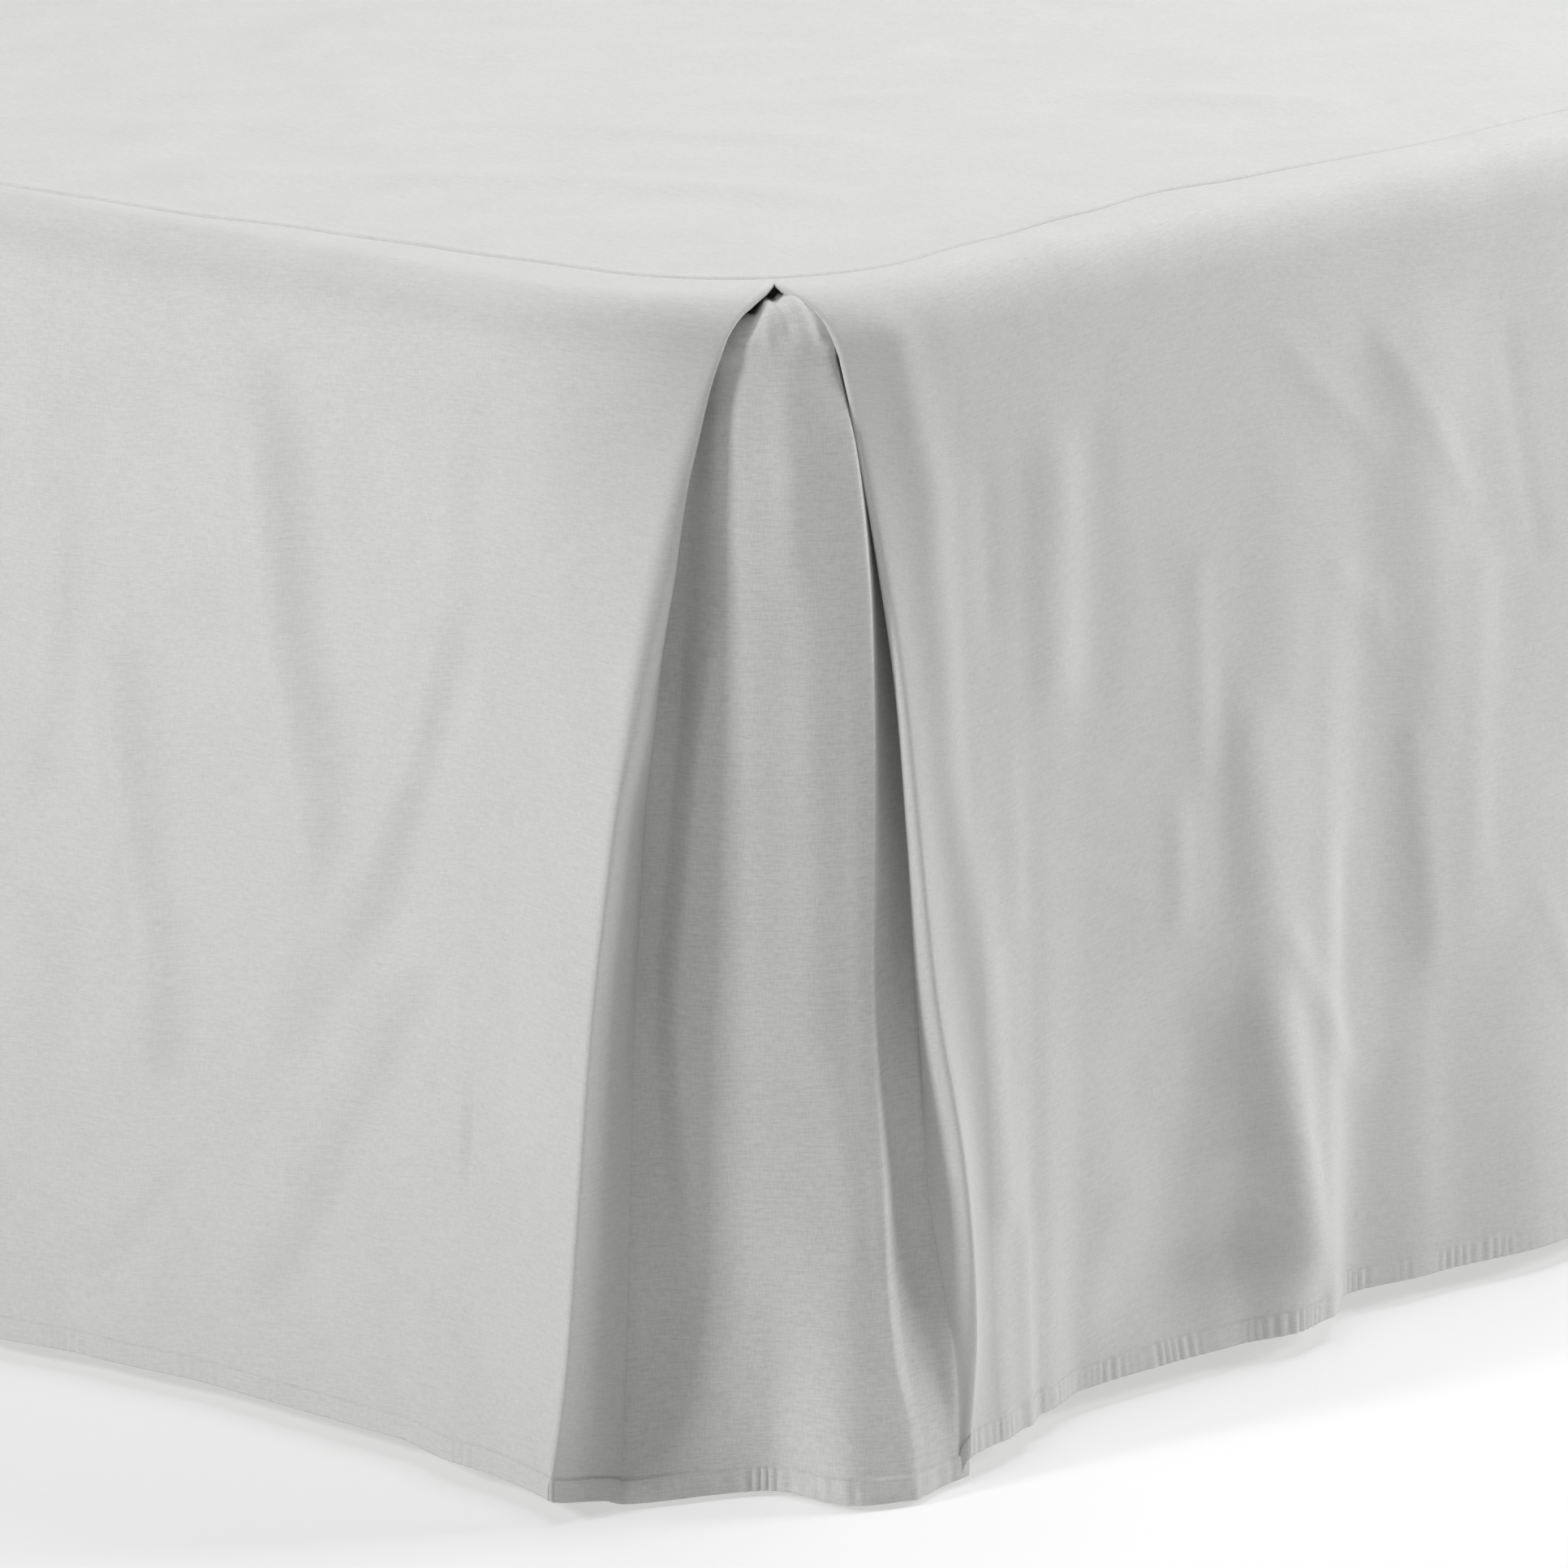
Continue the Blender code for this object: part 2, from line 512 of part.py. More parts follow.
def deck(side_top, foot_top):
    """The flat top cloth, inside the top rows of the three panels."""
    half = [Vector((point.x, point.y)) for point in side_top[::-1] + foot_top if point.x > 0]
    outline = half + [Vector((-point.x, point.y)) for point in half[::-1]]
    bm = bmesh.new()
    corners = []
    for before, point, after in zip(outline[-1:] + outline, outline, outline[1:] + outline[:1]):
        inward = Vector((after.y - before.y, before.x - after.x)).normalized()
        if point.y > HEAD_EDGE - PIECE_GAP:
            inward = Vector((-math.copysign(1.0, point.x), 0.0))
        spot = point + inward * PIECE_GAP * 1.5
        corners.append(bm.verts.new((spot.x, spot.y, DECK_HEIGHT)))
    bm.faces.new(corners[::-1])
    bmesh.ops.recalc_face_normals(bm, faces=bm.faces)
    mesh = bpy.data.meshes.new("deck")
    bm.to_mesh(mesh)
    bm.free()
    return solidify(add_object("deck", mesh, "linen"))


def bed_base(cutters):
    """The plain base: rounded foot corners, a rounded top edge, a flat head."""
    half_width = HALF_WIDTH - CLOTH / 2 - EDGE_CLEARANCE
    foot = FOOT_FACE + CLOTH / 2 + EDGE_CLEARANCE
    head = HEAD_EDGE - CLOTH
    spare = 0.10
    top = DECK_HEIGHT - CLOTH / 2 - PIECE_GAP
    outline = []
    for step in range(13):
        angle = QUARTER * step / 12
        outline.append((half_width - BASE_CORNER_RADIUS * (1 - math.sin(angle)),
                        foot + BASE_CORNER_RADIUS * (1 - math.cos(angle))))
    outline.append((half_width, head + spare))
    ring = outline + [(-x, y) for x, y in outline[::-1]]
    bm = bmesh.new()
    face = bm.faces.new([bm.verts.new((x, y, BASE_BOTTOM)) for x, y in ring])
    raised = bmesh.ops.extrude_face_region(bm, geom=[face])["geom"]
    lifted = [item for item in raised if isinstance(item, bmesh.types.BMVert)]
    bmesh.ops.translate(bm, verts=lifted, vec=(0, 0, top - BASE_BOTTOM))
    bmesh.ops.recalc_face_normals(bm, faces=bm.faces)
    mesh = bpy.data.meshes.new("bed_base")
    bm.to_mesh(mesh)
    bm.free()
    weights = mesh.attributes.new("bevel_weight_edge", "FLOAT", "EDGE")
    for edge in mesh.edges:
        ends = [mesh.vertices[index].co for index in edge.vertices]
        weights.data[edge.index].value = 1.0 if min(end.z for end in ends) > top - 0.001 else 0.0
    base = add_object("bed_base", mesh, "base_cloth")
    rounding = base.modifiers.new("top edge", "BEVEL")
    rounding.limit_method = "WEIGHT"
    rounding.width = ROLL_RADIUS + CLOTH / 2 + 0.001
    rounding.segments = 6
    bpy.ops.mesh.primitive_cube_add(size=1.0)
    cutter = bpy.context.object
    cutter.name = "head_cutter"
    cutter.scale = (BED_WIDTH + spare, 4 * spare, 2 * DECK_HEIGHT)
    cutter.location = (0, head + 2 * spare, DECK_HEIGHT)
    cutter.hide_render = True
    cutter.display_type = "WIRE"
    move_to(cutter, cutters)
    cut = base.modifiers.new("head face", "BOOLEAN")
    cut.operation = "DIFFERENCE"
    cut.object = cutter
    return base, cutter


def legs():
    made = []
    height = BASE_BOTTOM - PIECE_GAP
    for row, place in enumerate(LEG_ROWS):
        for side, word in ((1, "right"), (-1, "left")):
            bpy.ops.mesh.primitive_cylinder_add(vertices=24, radius=LEG_RADIUS, depth=height)
            leg = bpy.context.object
            leg.name = f"leg_{word}_{('foot', 'middle', 'head')[row]}"
            leg.location = (side * LEG_SPREAD, place, height / 2)
            leg.data.materials.append(material("leg_wood"))
            leg.data.set_sharp_from_angle(angle=math.radians(40))
            made.append(leg)
    return made


def move_to(made, collection):
    for holder in list(made.users_collection):
        holder.objects.unlink(made)
    collection.objects.link(made)


def main():
    for old in list(bpy.data.objects):
        bpy.data.objects.remove(old, do_unlink=True)
    parts = bpy.data.collections.new("bed skirt on bed base")
    cutters = bpy.data.collections.new("cutters")
    bpy.context.scene.collection.children.link(parts)
    bpy.context.scene.collection.children.link(cutters)

    foot = foot_grid()
    side_right = side_grid(SIDE_HEM_RIGHT, SIDE_FOLDS_RIGHT)
    side_left = side_grid(SIDE_HEM_LEFT, SIDE_FOLDS_LEFT)
    insert = insert_grid()
    side_top = [point for point in side_right[0] if point]
    foot_top = [point for point in foot[0] if point]
    base, cutter = bed_base(cutters)
    made = [
        deck(side_top, foot_top),
        grid_cloth("skirt_foot", foot),
        grid_cloth("skirt_side_right", side_right),
        grid_cloth("skirt_side_left", side_left, flip=True),
        grid_cloth("pleat_insert_right", insert),
        grid_cloth("pleat_insert_left", insert, flip=True),
        base] + legs()

    # The whole stands with the middle of its box over the origin.
    foot_reach = min(point.y for line in foot for point in line if point) - CLOTH / 2
    middle = bpy.data.objects.new("bed_middle", None)
    parts.objects.link(middle)
    middle.location.y = -(foot_reach + HEAD_EDGE) / 2
    for item in made:
        move_to(item, parts)
        item.parent = middle
    cutter.parent = middle


main()
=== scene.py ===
# %% [markdown]
# # A bed skirt, piece by piece
# A bed skirt hides the base of a bed. A flat deck lies between base and
# mattress, panels hang from its seam, and each foot corner opens in an inverted
# pleat with an insert of its own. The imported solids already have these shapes.
# This lesson dresses them: finer folds, seams, hems, threads and light.

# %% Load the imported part
import math

import bmesh
import bpy
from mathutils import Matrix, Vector, geometry, noise


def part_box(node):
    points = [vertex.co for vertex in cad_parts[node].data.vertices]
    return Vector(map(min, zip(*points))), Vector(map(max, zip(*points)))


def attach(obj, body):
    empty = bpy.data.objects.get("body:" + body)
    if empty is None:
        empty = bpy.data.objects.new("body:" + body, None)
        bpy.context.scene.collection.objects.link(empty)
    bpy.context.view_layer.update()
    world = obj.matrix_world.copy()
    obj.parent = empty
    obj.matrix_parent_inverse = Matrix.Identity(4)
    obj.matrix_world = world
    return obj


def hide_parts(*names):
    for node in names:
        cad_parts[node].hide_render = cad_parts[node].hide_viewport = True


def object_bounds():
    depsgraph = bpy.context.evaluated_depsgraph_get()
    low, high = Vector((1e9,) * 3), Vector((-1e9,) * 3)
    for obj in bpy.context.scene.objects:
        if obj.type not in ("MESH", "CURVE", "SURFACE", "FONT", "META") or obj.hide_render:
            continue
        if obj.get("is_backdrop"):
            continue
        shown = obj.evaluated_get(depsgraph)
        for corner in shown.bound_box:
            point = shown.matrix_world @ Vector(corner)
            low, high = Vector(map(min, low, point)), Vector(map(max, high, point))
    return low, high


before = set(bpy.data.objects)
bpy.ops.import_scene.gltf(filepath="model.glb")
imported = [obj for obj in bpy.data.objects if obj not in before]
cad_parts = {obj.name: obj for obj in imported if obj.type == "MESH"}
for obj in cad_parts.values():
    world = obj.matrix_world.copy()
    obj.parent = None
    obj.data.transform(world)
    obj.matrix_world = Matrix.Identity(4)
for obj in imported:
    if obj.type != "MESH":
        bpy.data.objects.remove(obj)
solid_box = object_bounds()
print("nodes:", ", ".join(sorted(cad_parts)))

# %% [markdown]
# Every curve of the cloth starts from a few real sizes, so the dressed pieces
# and the solids stay alike. The tables are in millimetres, which are easier to
# read: a place along the bed from its corner, and what the cloth does there.

# %% Sizes of bed and cloth
BED_WIDTH = 1.60           # over the hanging cloth, side to side
BED_LENGTH = 2.00          # over the hanging cloth, foot to head
DECK_HEIGHT = 0.53         # middle of the deck cloth above the floor
HEM_HEIGHT = 0.012         # hems of the panels above the floor
INSERT_HEM_HEIGHT = 0.003  # hems of the pleat inserts
CLOTH = 0.0010             # thickness of one layer
ROLL_RADIUS = 0.028        # of the cloth where it rolls over the edge
SEAM_CORNER_RADIUS = 0.095  # of the deck's seam at the foot corners
EASE = 0.003               # how far the cloth stands off the base below the roll
EASE_BY = 0.12             # part of the drop by which it does
HANG_POWER = 1.5           # how late the outward swing of the hem begins
INWARD_LIMIT = 0.008       # how far a hem may hang inside the bed's face
INWARD_FROM = 0.70         # part of the drop that is past the base
BASE_CORNER_RADIUS = 0.20  # of the base, seen from above
HEM_BAND = 0.010           # depth of the stitched hem

HALF_WIDTH = BED_WIDTH / 2
FOOT_FACE = -BED_LENGTH / 2
HEAD_EDGE = BED_LENGTH / 2
ROLL_END = DECK_HEIGHT - ROLL_RADIUS
QUARTER = math.pi / 2


def metres(rows):
    """A table written in millimetres, in metres."""
    return tuple(metres(row) if isinstance(row, tuple) else round(row / 1000, 6) for row in rows)


HEAD_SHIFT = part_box("deck")[1].y - HEAD_EDGE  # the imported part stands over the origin
print(f"bed middle lies {HEAD_SHIFT * 1000:.1f} mm towards the head")

# %% [markdown]
# A sewn seam is never a ruled line, and a hem swings in and out as it hangs.
# Both are read from places along the bed, where straight lines look drawn.

# %% How the seam and the hems wander
FOOT_SEAM = metres((       # in mm: place, inset
    (130, 61), (200, 54), (280, 47), (360, 36), (460, 33), (800, 42)))
SIDE_SEAM = metres((       # in mm: place, inset
    (156, 38), (220, 45), (300, 54), (360, 61), (420, 54), (540, 46), (660, 51), (1100, 44), (1600, 50),
    (2000, 46)))
FOOT_HEM = metres((        # in mm: place, swing
    (130, 24), (180, 13), (240, 11), (300, 9), (360, 13), (430, 22), (520, 14), (620, 20), (740, 10),
    (860, 19), (980, 11), (1100, 21), (1200, 12), (1320, 10), (1400, 14), (1470, 24)))
SIDE_HEM_RIGHT = metres((  # in mm: place, swing
    (156, 25), (180, 19), (200, 10), (240, 0), (340, 8), (375, 16), (400, 12), (440, -8), (490, 1),
    (560, 12), (660, 6), (780, 16), (900, 5), (1040, 15), (1200, 6), (1360, 17), (1520, 6), (1680, 14),
    (1840, 6), (2000, 11)))
SIDE_HEM_LEFT = metres((   # in mm: place, swing
    (156, 25), (210, 10), (270, 4), (360, 13), (460, 3), (580, 14), (720, 6), (840, 13), (980, 4),
    (1120, 16), (1280, 7), (1420, 13), (1600, 4), (1760, 14), (1900, 7), (2000, 10)))
CORNER_X = HALF_WIDTH - SIDE_SEAM[0][1] - SEAM_CORNER_RADIUS
CORNER_Y = FOOT_FACE + FOOT_SEAM[0][1] + SEAM_CORNER_RADIUS
print(f"centre of the seam's corner: {CORNER_X:.3f}, {CORNER_Y:.3f}")

# %% [markdown]
# Cloth that hangs free shows soft folds where it was pressed, packed and
# pulled. Each main fold is given as a line with its own width and rise,
# because folds made by noise alone all look alike.

# %% The main folds of the panels
FOOT_FOLDS = metres((      # in mm: half width, rise, then places and drops along the fold
    (18, 9.2, (268, 80), (262, 140), (255, 200), (242, 250), (225, 300)),
    (15, 4.5, (225, 300), (245, 350), (268, 410)),
    (16, 3.5, (148, 90), (152, 180)),
    (14, 6, (155, 205), (180, 270), (208, 330)),
    (12, -3, (145, 220), (165, 280), (172, 320), (200, 345), (228, 385)),
    (15, -5.8, (165, 365), (182, 400), (202, 430), (230, 480), (250, 505)),
    (14, 7.2, (352, 225), (346, 270), (330, 340), (330, 390)),
    (14, 6, (386, 160), (392, 210), (402, 265)),
    (30, -7.5, (214, 90), (210, 240)),
    (30, -3, (110, 250), (115, 380)),
    (34, 6, (560, 120), (530, 400)),
    (36, 5, (680, 260), (700, 480)),
    (34, 6, (860, 90), (880, 360)),
    (38, 6, (1010, 200), (970, 430)),
    (32, 6, (1190, 110), (1230, 380)),
    (30, 5, (1350, 80), (1380, 340))))
SIDE_FOLDS_RIGHT = metres((  # in mm: half width, rise, then places and drops along the fold
    (18, 4.2, (350, 290), (353, 340), (356, 390), (362, 440), (374, 490), (385, 525)),
    (20, 3.4, (358, 430), (374, 490), (385, 525)),
    (34, -8, (302, 420), (308, 520)),
    (20, -4.5, (275, 518), (345, 518)),
    (18, 3, (214, 130), (215, 215)),
    (15, -1.8, (243, 120), (246, 225)),
    (34, 5, (470, 120), (500, 380)),
    (36, 7, (700, 220), (690, 480)),
    (40, 6, (930, 100), (960, 360)),
    (40, 7, (1200, 160), (1160, 460)),
    (38, 6, (1470, 90), (1500, 380)),
    (40, 6, (1750, 200), (1720, 480))))
SIDE_FOLDS_LEFT = metres((  # in mm: half width, rise, then places and drops along the fold
    (26, 6, (250, 120), (230, 330)),
    (34, 8, (430, 240), (460, 500)),
    (38, 6, (640, 90), (610, 340)),
    (38, 7, (880, 200), (910, 460)),
    (40, 6, (1160, 110), (1130, 390)),
    (40, 7, (1430, 220), (1470, 500)),
    (38, 6, (1720, 100), (1700, 380))))
print(len(FOOT_FOLDS) + len(SIDE_FOLDS_RIGHT) + len(SIDE_FOLDS_LEFT), "main folds")

# %% [markdown]
# Between the main folds lie small creases, from packing and from hands. They
# are only tenths of a millimetre high, yet soft light finds them all.

# %% The small creases of the panels
FOOT_CREASES = metres((    # in mm: half width, rise, then places and drops along the crease
    (5, -1, (32, 5), (16, 51)),
    (6, 1, (268, 60), (256, 150), (249, 205), (238, 255), (226, 290)),
    (8, 1, (147, 100), (150, 175), (170, 240)),
    (8, 1.2, (352, 240), (345, 290), (330, 340)),
    (7, -0.8, (96, 240), (90, 290)),
    (9, -1, (112, 310), (110, 350)),
    (12, 1.8, (325, 445), (375, 495)),
    (10, -1.4, (300, 450), (350, 500)),
    (10, 1, (420, 80), (440, 160), (436, 230)),
    (9, 1.2, (70, 300), (82, 390), (96, 500))))
SIDE_CREASES_RIGHT = metres((  # in mm: half width, rise, then places and drops along the crease
    (12, 2.6, (118, 50), (133, 120), (138, 240), (158, 340), (168, 440)),
    (7, -1, (170, 120), (171, 180)),
    (8, -1.2, (183, 330), (187, 450)),
    (7, 1.2, (315, 200), (318, 285)),
    (8, -0.9, (333, 250), (333, 350)),
    (7, 1.5, (302, 310), (302, 355)),
    (9, 2.4, (375, 385), (405, 420), (438, 455)),
    (9, -1.4, (424, 350), (431, 400)),
    (8, 1.4, (350, 85), (395, 125), (438, 157)),
    (8, 1.2, (415, 215), (442, 240)),
    (4, 0.6, (200, 300), (250, 320), (284, 343)),
    (6, -1, (268, 20), (292, 42)),
    (6, -1, (348, 20), (372, 44)),
    (5, 1.4, (258, 477), (375, 477)),
    (5, 1, (272, 470), (370, 492)),
    (7, 1.2, (443, 111), (506, 188)),
    (12, 1.6, (516, 221), (512, 358)),
    (4, 0.7, (443, 225), (450, 257)),
    (8, 1.4, (470, 300), (485, 400)),
    (7, -1, (535, 120), (560, 220)),
    (6, 1, (560, 380), (590, 440)),
    (9, 1.2, (620, 140), (600, 260))))
SIDE_CREASES_LEFT = metres((  # in mm: half width, rise, then places and drops along the crease
    (10, 1.2, (300, 200), (330, 330)),
    (9, -1, (180, 300), (200, 420)),
    (12, 1, (700, 150), (720, 300))))

# %% [markdown]
# An inverted pleat is two folds that meet at one point and part towards the
# floor. Behind them each panel turns back into a return, and an insert joins
# the two returns. The table gives the way apart and the shape of the returns
# at each drop from the seam.

# %% The pleat
PLEAT_FACING = math.radians(41.5)
MEETING_OFFSET = 0.0198    # of the meeting point, sideways from the corner's centre
MEETING_GAP = 0.0004       # between each panel and the meeting point
PLEAT_LEVELS = metres((    # in mm
    # drop, foot gap, side gap, foot out, side out, foot reach, foot depth, side reach, side depth
    (0, 0, 0, 51.8, 33.4, -20, 1.2, -20, 1.2),
    (10, 0.2, 1.4, 51.8, 33.4, -20, 2.8, -20, 2.8),
    (20, 2.2, 3.8, 51.8, 33.4, -20, 5.8, -20, 5.8),
    (25, 3.9, 6.2, 51.8, 33.4, -20, 6.6, -20, 6.6),
    (30, 6.3, 9, 51.8, 33.4, -20, 7.2, -20, 7.2),
    (36, 10, 14, 51.8, 33.4, -20, 7.6, -20, 7.6),
    (42, 14.8, 19, 51.8, 33.4, -20.5, 7.8, -20.5, 8),
    (52, 20.6, 26.2, 51.8, 33.4, -20.8, 7.8, -21.2, 8.5),
    (67, 27, 31.8, 51.8, 33.4, -21.4, 9.4, -23.3, 6.6),
    (104, 40, 39.2, 62, 36, -19.8, 13.1, -26.9, 8.1),
    (160, 53, 49.3, 71, 35, -13.9, 26.1, -25.7, 10.7),
    (210, 61.8, 56.9, 77.5, 34.5, -0.8, 38.6, -23.5, 12.7),
    (270, 70, 63, 84, 35, 0.9, 49.2, -19.9, 16),
    (350, 78.4, 71.2, 89, 33, 3.6, 52.3, -8.8, 18.3),
    (430, 84.4, 84, 93, 28, 8.7, 49.3, 8.1, 18),
    (500, 89.8, 88.8, 96, 29, 15.5, 41.4, 11.6, 3.5),
    (550, 96.5, 86, 98.5, 35, 24.1, 30.9, 5.7, 1.2)))
PLEAT_COLUMNS = {"gap": (1, 2), "out": (3, 4), "reach": (5, 7), "depth": (6, 8)}  # foot, side
FOLD_BULGES = metres((     # in mm: drop, foot and side: how far a return swells past its fold
    (0, 2, 2), (52, 4, 6), (67, 6, 6), (104, 11, 6), (160, 15, 6), (210, 12, 6), (270, 5, 6), (350, 2, 6),
    (500, 2, 5), (550, 2, 4)))
SEAM_LAP = -0.0003         # how far behind a return's end the insert passes: just in front
SEAM_TUCK = 0.007          # how far under the return its own edge lies
TUCK_LAP = 0.0016          # and how far behind the return
FLARE_POWER = 2.2          # how late round the corner a panel swings out to its fold
INSERT_LEVELS = metres((   # in mm: drop, then aside and out of seven folds from foot to side
    (67, ((-30, 39.5), (-21, 42), (-4, 43.5), (9, 42.8), (25.8, 33.5), (30, 20), (41, 14))),
    (104, ((-34, 42), (-23, 47.5), (-5, 50), (13, 49.2), (34.5, 40.5), (38, 24), (47, 14))),
    (160, ((-40, 37), (-19, 49), (0, 51), (15, 50.3), (40.5, 42), (44, 25), (52, 13))),
    (210, ((-41, 36), (-28, 48), (-1, 50), (15, 49.5), (42.7, 40.8), (46, 25), (55, 13))),
    (270, ((-46, 37), (-34, 47.5), (-1, 50), (16, 49.5), (43.3, 40.8), (47, 26), (57, 14))),
    (350, ((-52, 39), (-40, 49.5), (-2, 51), (18, 50.3), (42.5, 42.7), (47.5, 28), (57, 17))),
    (430, ((-48, 43), (-34, 50), (-2, 52), (30, 52.5), (47.5, 47), (53, 31), (61, 23))),
    (465, ((-46, 47.5), (-28, 51.5), (-2, 52.5), (31, 56), (48.5, 50.5), (54, 38), (63, 29))),
    (500, ((-45, 53.5), (-25, 54), (-2, 53.5), (33, 62), (52, 56.5), (57.5, 47), (68, 38))),
    (530, ((-45, 61), (-25, 57.5), (-1, 54.5), (34, 70.5), (59, 61.5), (65.5, 53), (74.5, 41.5))),
    (555, ((-45, 69), (-25, 61), (-1, 55), (36, 77), (60, 68), (68, 57.5), (75, 45.5)))))

# %% [markdown]
# The helpers below read the tables. `ease` is level at both ends, so a value
# that passes from one row to the next leaves no kink in the cloth.

# %% Reading the tables
def ease(part):
    """0 to 1, level at both ends."""
    part = min(1.0, max(0.0, part))
    return part * part * (3 - 2 * part)


def between(rows, place, column, smooth):
    """The value at a place, on straight or on smooth lines between the rows."""
    if place <= rows[0][0]:
        return rows[0][column]
    for low, high in zip(rows, rows[1:]):
        if place <= high[0]:
            part = (place - low[0]) / (high[0] - low[0])
            part = ease(part) if smooth else part
            return low[column] + (high[column] - low[column]) * part
    return rows[-1][column]


def table(rows, place, column=1):
    return between(rows, place, column, True)


def curve(rows, place, column, slope):
    """The value at a place on a smooth curve through all rows, given a rule for its slopes."""
    if place <= rows[0][0]:
        return rows[0][column]
    if place >= rows[-1][0]:
        return rows[-1][column]
    index = max(number for number, row in enumerate(rows) if row[0] <= place)
    start, end = rows[index], rows[index + 1]
    width = end[0] - start[0]
    part = (place - start[0]) / width
    return ((2 * part ** 3 - 3 * part ** 2 + 1) * start[column]
            + (part ** 3 - 2 * part ** 2 + part) * width * slope(rows, index, column)
            + (3 * part ** 2 - 2 * part ** 3) * end[column]
            + (part ** 3 - part ** 2) * width * slope(rows, index + 1, column))


def climb(rows, index, column, back, ahead):
    """Slope between two neighbours of a row."""
    low, high = rows[max(0, index - back)], rows[min(len(rows) - 1, index + ahead)]
    return (high[column] - low[column]) / (high[0] - low[0])


def flowing(rows, place, column):
    """On a curve that swings as freely as cloth does."""
    return curve(rows, place, column, lambda *spot: climb(*spot, 1, 1))


def careful_slope(rows, index, column):
    """Level at every hill and hollow, so that a curve never swings past its rows."""
    if index in (0, len(rows) - 1):
        return climb(rows, index, column, 1, 1)
    low, high = climb(rows, index, column, 1, 0), climb(rows, index, column, 0, 1)
    return 2 * low * high / (low + high) if low * high > 0 else 0.0


def fold_rise(folds, place, drop):
    """All soft folds together at one spot of a panel."""
    rise = 0.0
    for half_width, height, *course in folds:
        nearest = 3 * half_width
        for (place_a, drop_a), (place_b, drop_b) in zip(course, course[1:]):
            if not min(place_a, place_b) - nearest < place < max(place_a, place_b) + nearest:
                continue
            along_place, along_drop = place_b - place_a, drop_b - drop_a
            off_place, off_drop = place - place_a, drop - drop_a
            part = (off_place * along_place + off_drop * along_drop) / (along_place ** 2 + along_drop ** 2)
            part = min(1.0, max(0.0, part))
            nearest = min(nearest, math.hypot(off_place - along_place * part, off_drop - along_drop * part))
        rise += height * math.exp(-(nearest / half_width) ** 2)
    return rise


print("halfway eases to", ease(0.5), "and a quarter to", ease(0.25))

# %% [markdown]
# Woven cloth is never quite even, and small waves run down the drop rather
# than along it. Gentle noise, long downwards and short sideways, adds them. It
# is read at fixed places, so every run gives the same cloth.

# %% Small waves in the weave
SLACK = (0.0012, 0.0005, 0.00014)  # of the broad, middle and small waves
PUCKER_PITCH = 0.0056
PUCKER_RISE = 0.00042


def slack(place, drop, seed, amount=1.0):
    """How far the relaxed cloth stands out between its folds."""
    broad = noise.noise(Vector((place * 11, drop * 4.5, seed)))
    middle = noise.noise(Vector((place * 27, drop * 13, seed + 5)))
    small = noise.noise(Vector((place * 75, drop * 48, seed + 9)))
    return amount * (SLACK[0] * broad + SLACK[1] * middle + SLACK[2] * small)


def pucker(place, above_edge):
    """The fine gathers that stitching leaves along a hem."""
    if above_edge > HEM_BAND + 0.004:
        return 0.0
    beat = 2 * math.pi * place / PUCKER_PITCH + 9 * noise.noise(Vector((place * 52, 3.3, 1.1)))
    group = 0.35 + 1.3 * noise.noise(Vector((place * 46, 8.1, 2.7)))
    strength = ease((HEM_BAND + 0.002 - above_edge) / 0.004)
    return PUCKER_RISE * max(0.0, group) * math.sin(beat) * strength


print(f"slack at one spot: {slack(0.3, 0.2, 1.0) * 1000:.2f} mm")

# %% [markdown]
# Every hanging cloth has the same rows: a short flat part at the seam, the roll
# over the edge, and the drop. A row is finer along the hem, where the gathers
# of the stitching need more points.

# %% Rows of a cloth, from its seam to its hem
FLAT_STEPS = 6
ROLL_STEPS = 10
HANG_STEPS = 92
HEM_FINENESS = 4           # columns of the hem band for each column above it
HANG_LENGTH = ROLL_END - HEM_HEIGHT
HEM_ROWS = (0.0118, 0.0104, 0.0100, 0.0094, 0.0075, 0.0050, 0.0025, 0.0008, 0.0)
HEM_FROM = 0.014           # above the hem, where the finer rows begin
SWING_SOFTNESS = 0.0012    # of the turn from hanging free to leaning on the base
LEAST_RELIEF = -0.0002     # small relief never sinks deeper than this near the edge


def cloth_rows():
    """Each row is a stretch, the part of it, and the fineness of its columns."""
    rows = [("flat", (step / FLAT_STEPS) ** 2, 1) for step in range(FLAT_STEPS)]
    rows += [("roll", step / ROLL_STEPS, 1) for step in range(ROLL_STEPS + 1)]
    above = 1 - HEM_FROM / HANG_LENGTH
    rows += [("hang", above * step / HANG_STEPS, 1) for step in range(1, HANG_STEPS + 1)]
    return rows + [("hang", 1 - height / HANG_LENGTH, HEM_FINENESS) for height in HEM_ROWS]


def row_drop(row, inset):
    """Length of cloth between the seam and a row."""
    stretch, part = row[:2]
    flat = inset - ROLL_RADIUS
    if stretch == "flat":
        return flat * part
    if stretch == "roll":
        return flat + ROLL_RADIUS * QUARTER * part
    return flat + ROLL_RADIUS * QUARTER + HANG_LENGTH * part


def row_place(row, inset, swing, depth=0.0, hem=HEM_HEIGHT):
    """Distance out from the seam and height of a row, depth inside its face."""
    stretch, part = row[:2]
    flat = inset - ROLL_RADIUS
    if stretch == "flat":
        return flat * part, DECK_HEIGHT - depth
    if stretch == "roll":
        angle = QUARTER * part
        radius = ROLL_RADIUS - depth
        return flat + radius * math.sin(angle), ROLL_END + radius * math.cos(angle)
    return inset + swing - depth, ROLL_END - (ROLL_END - hem) * part


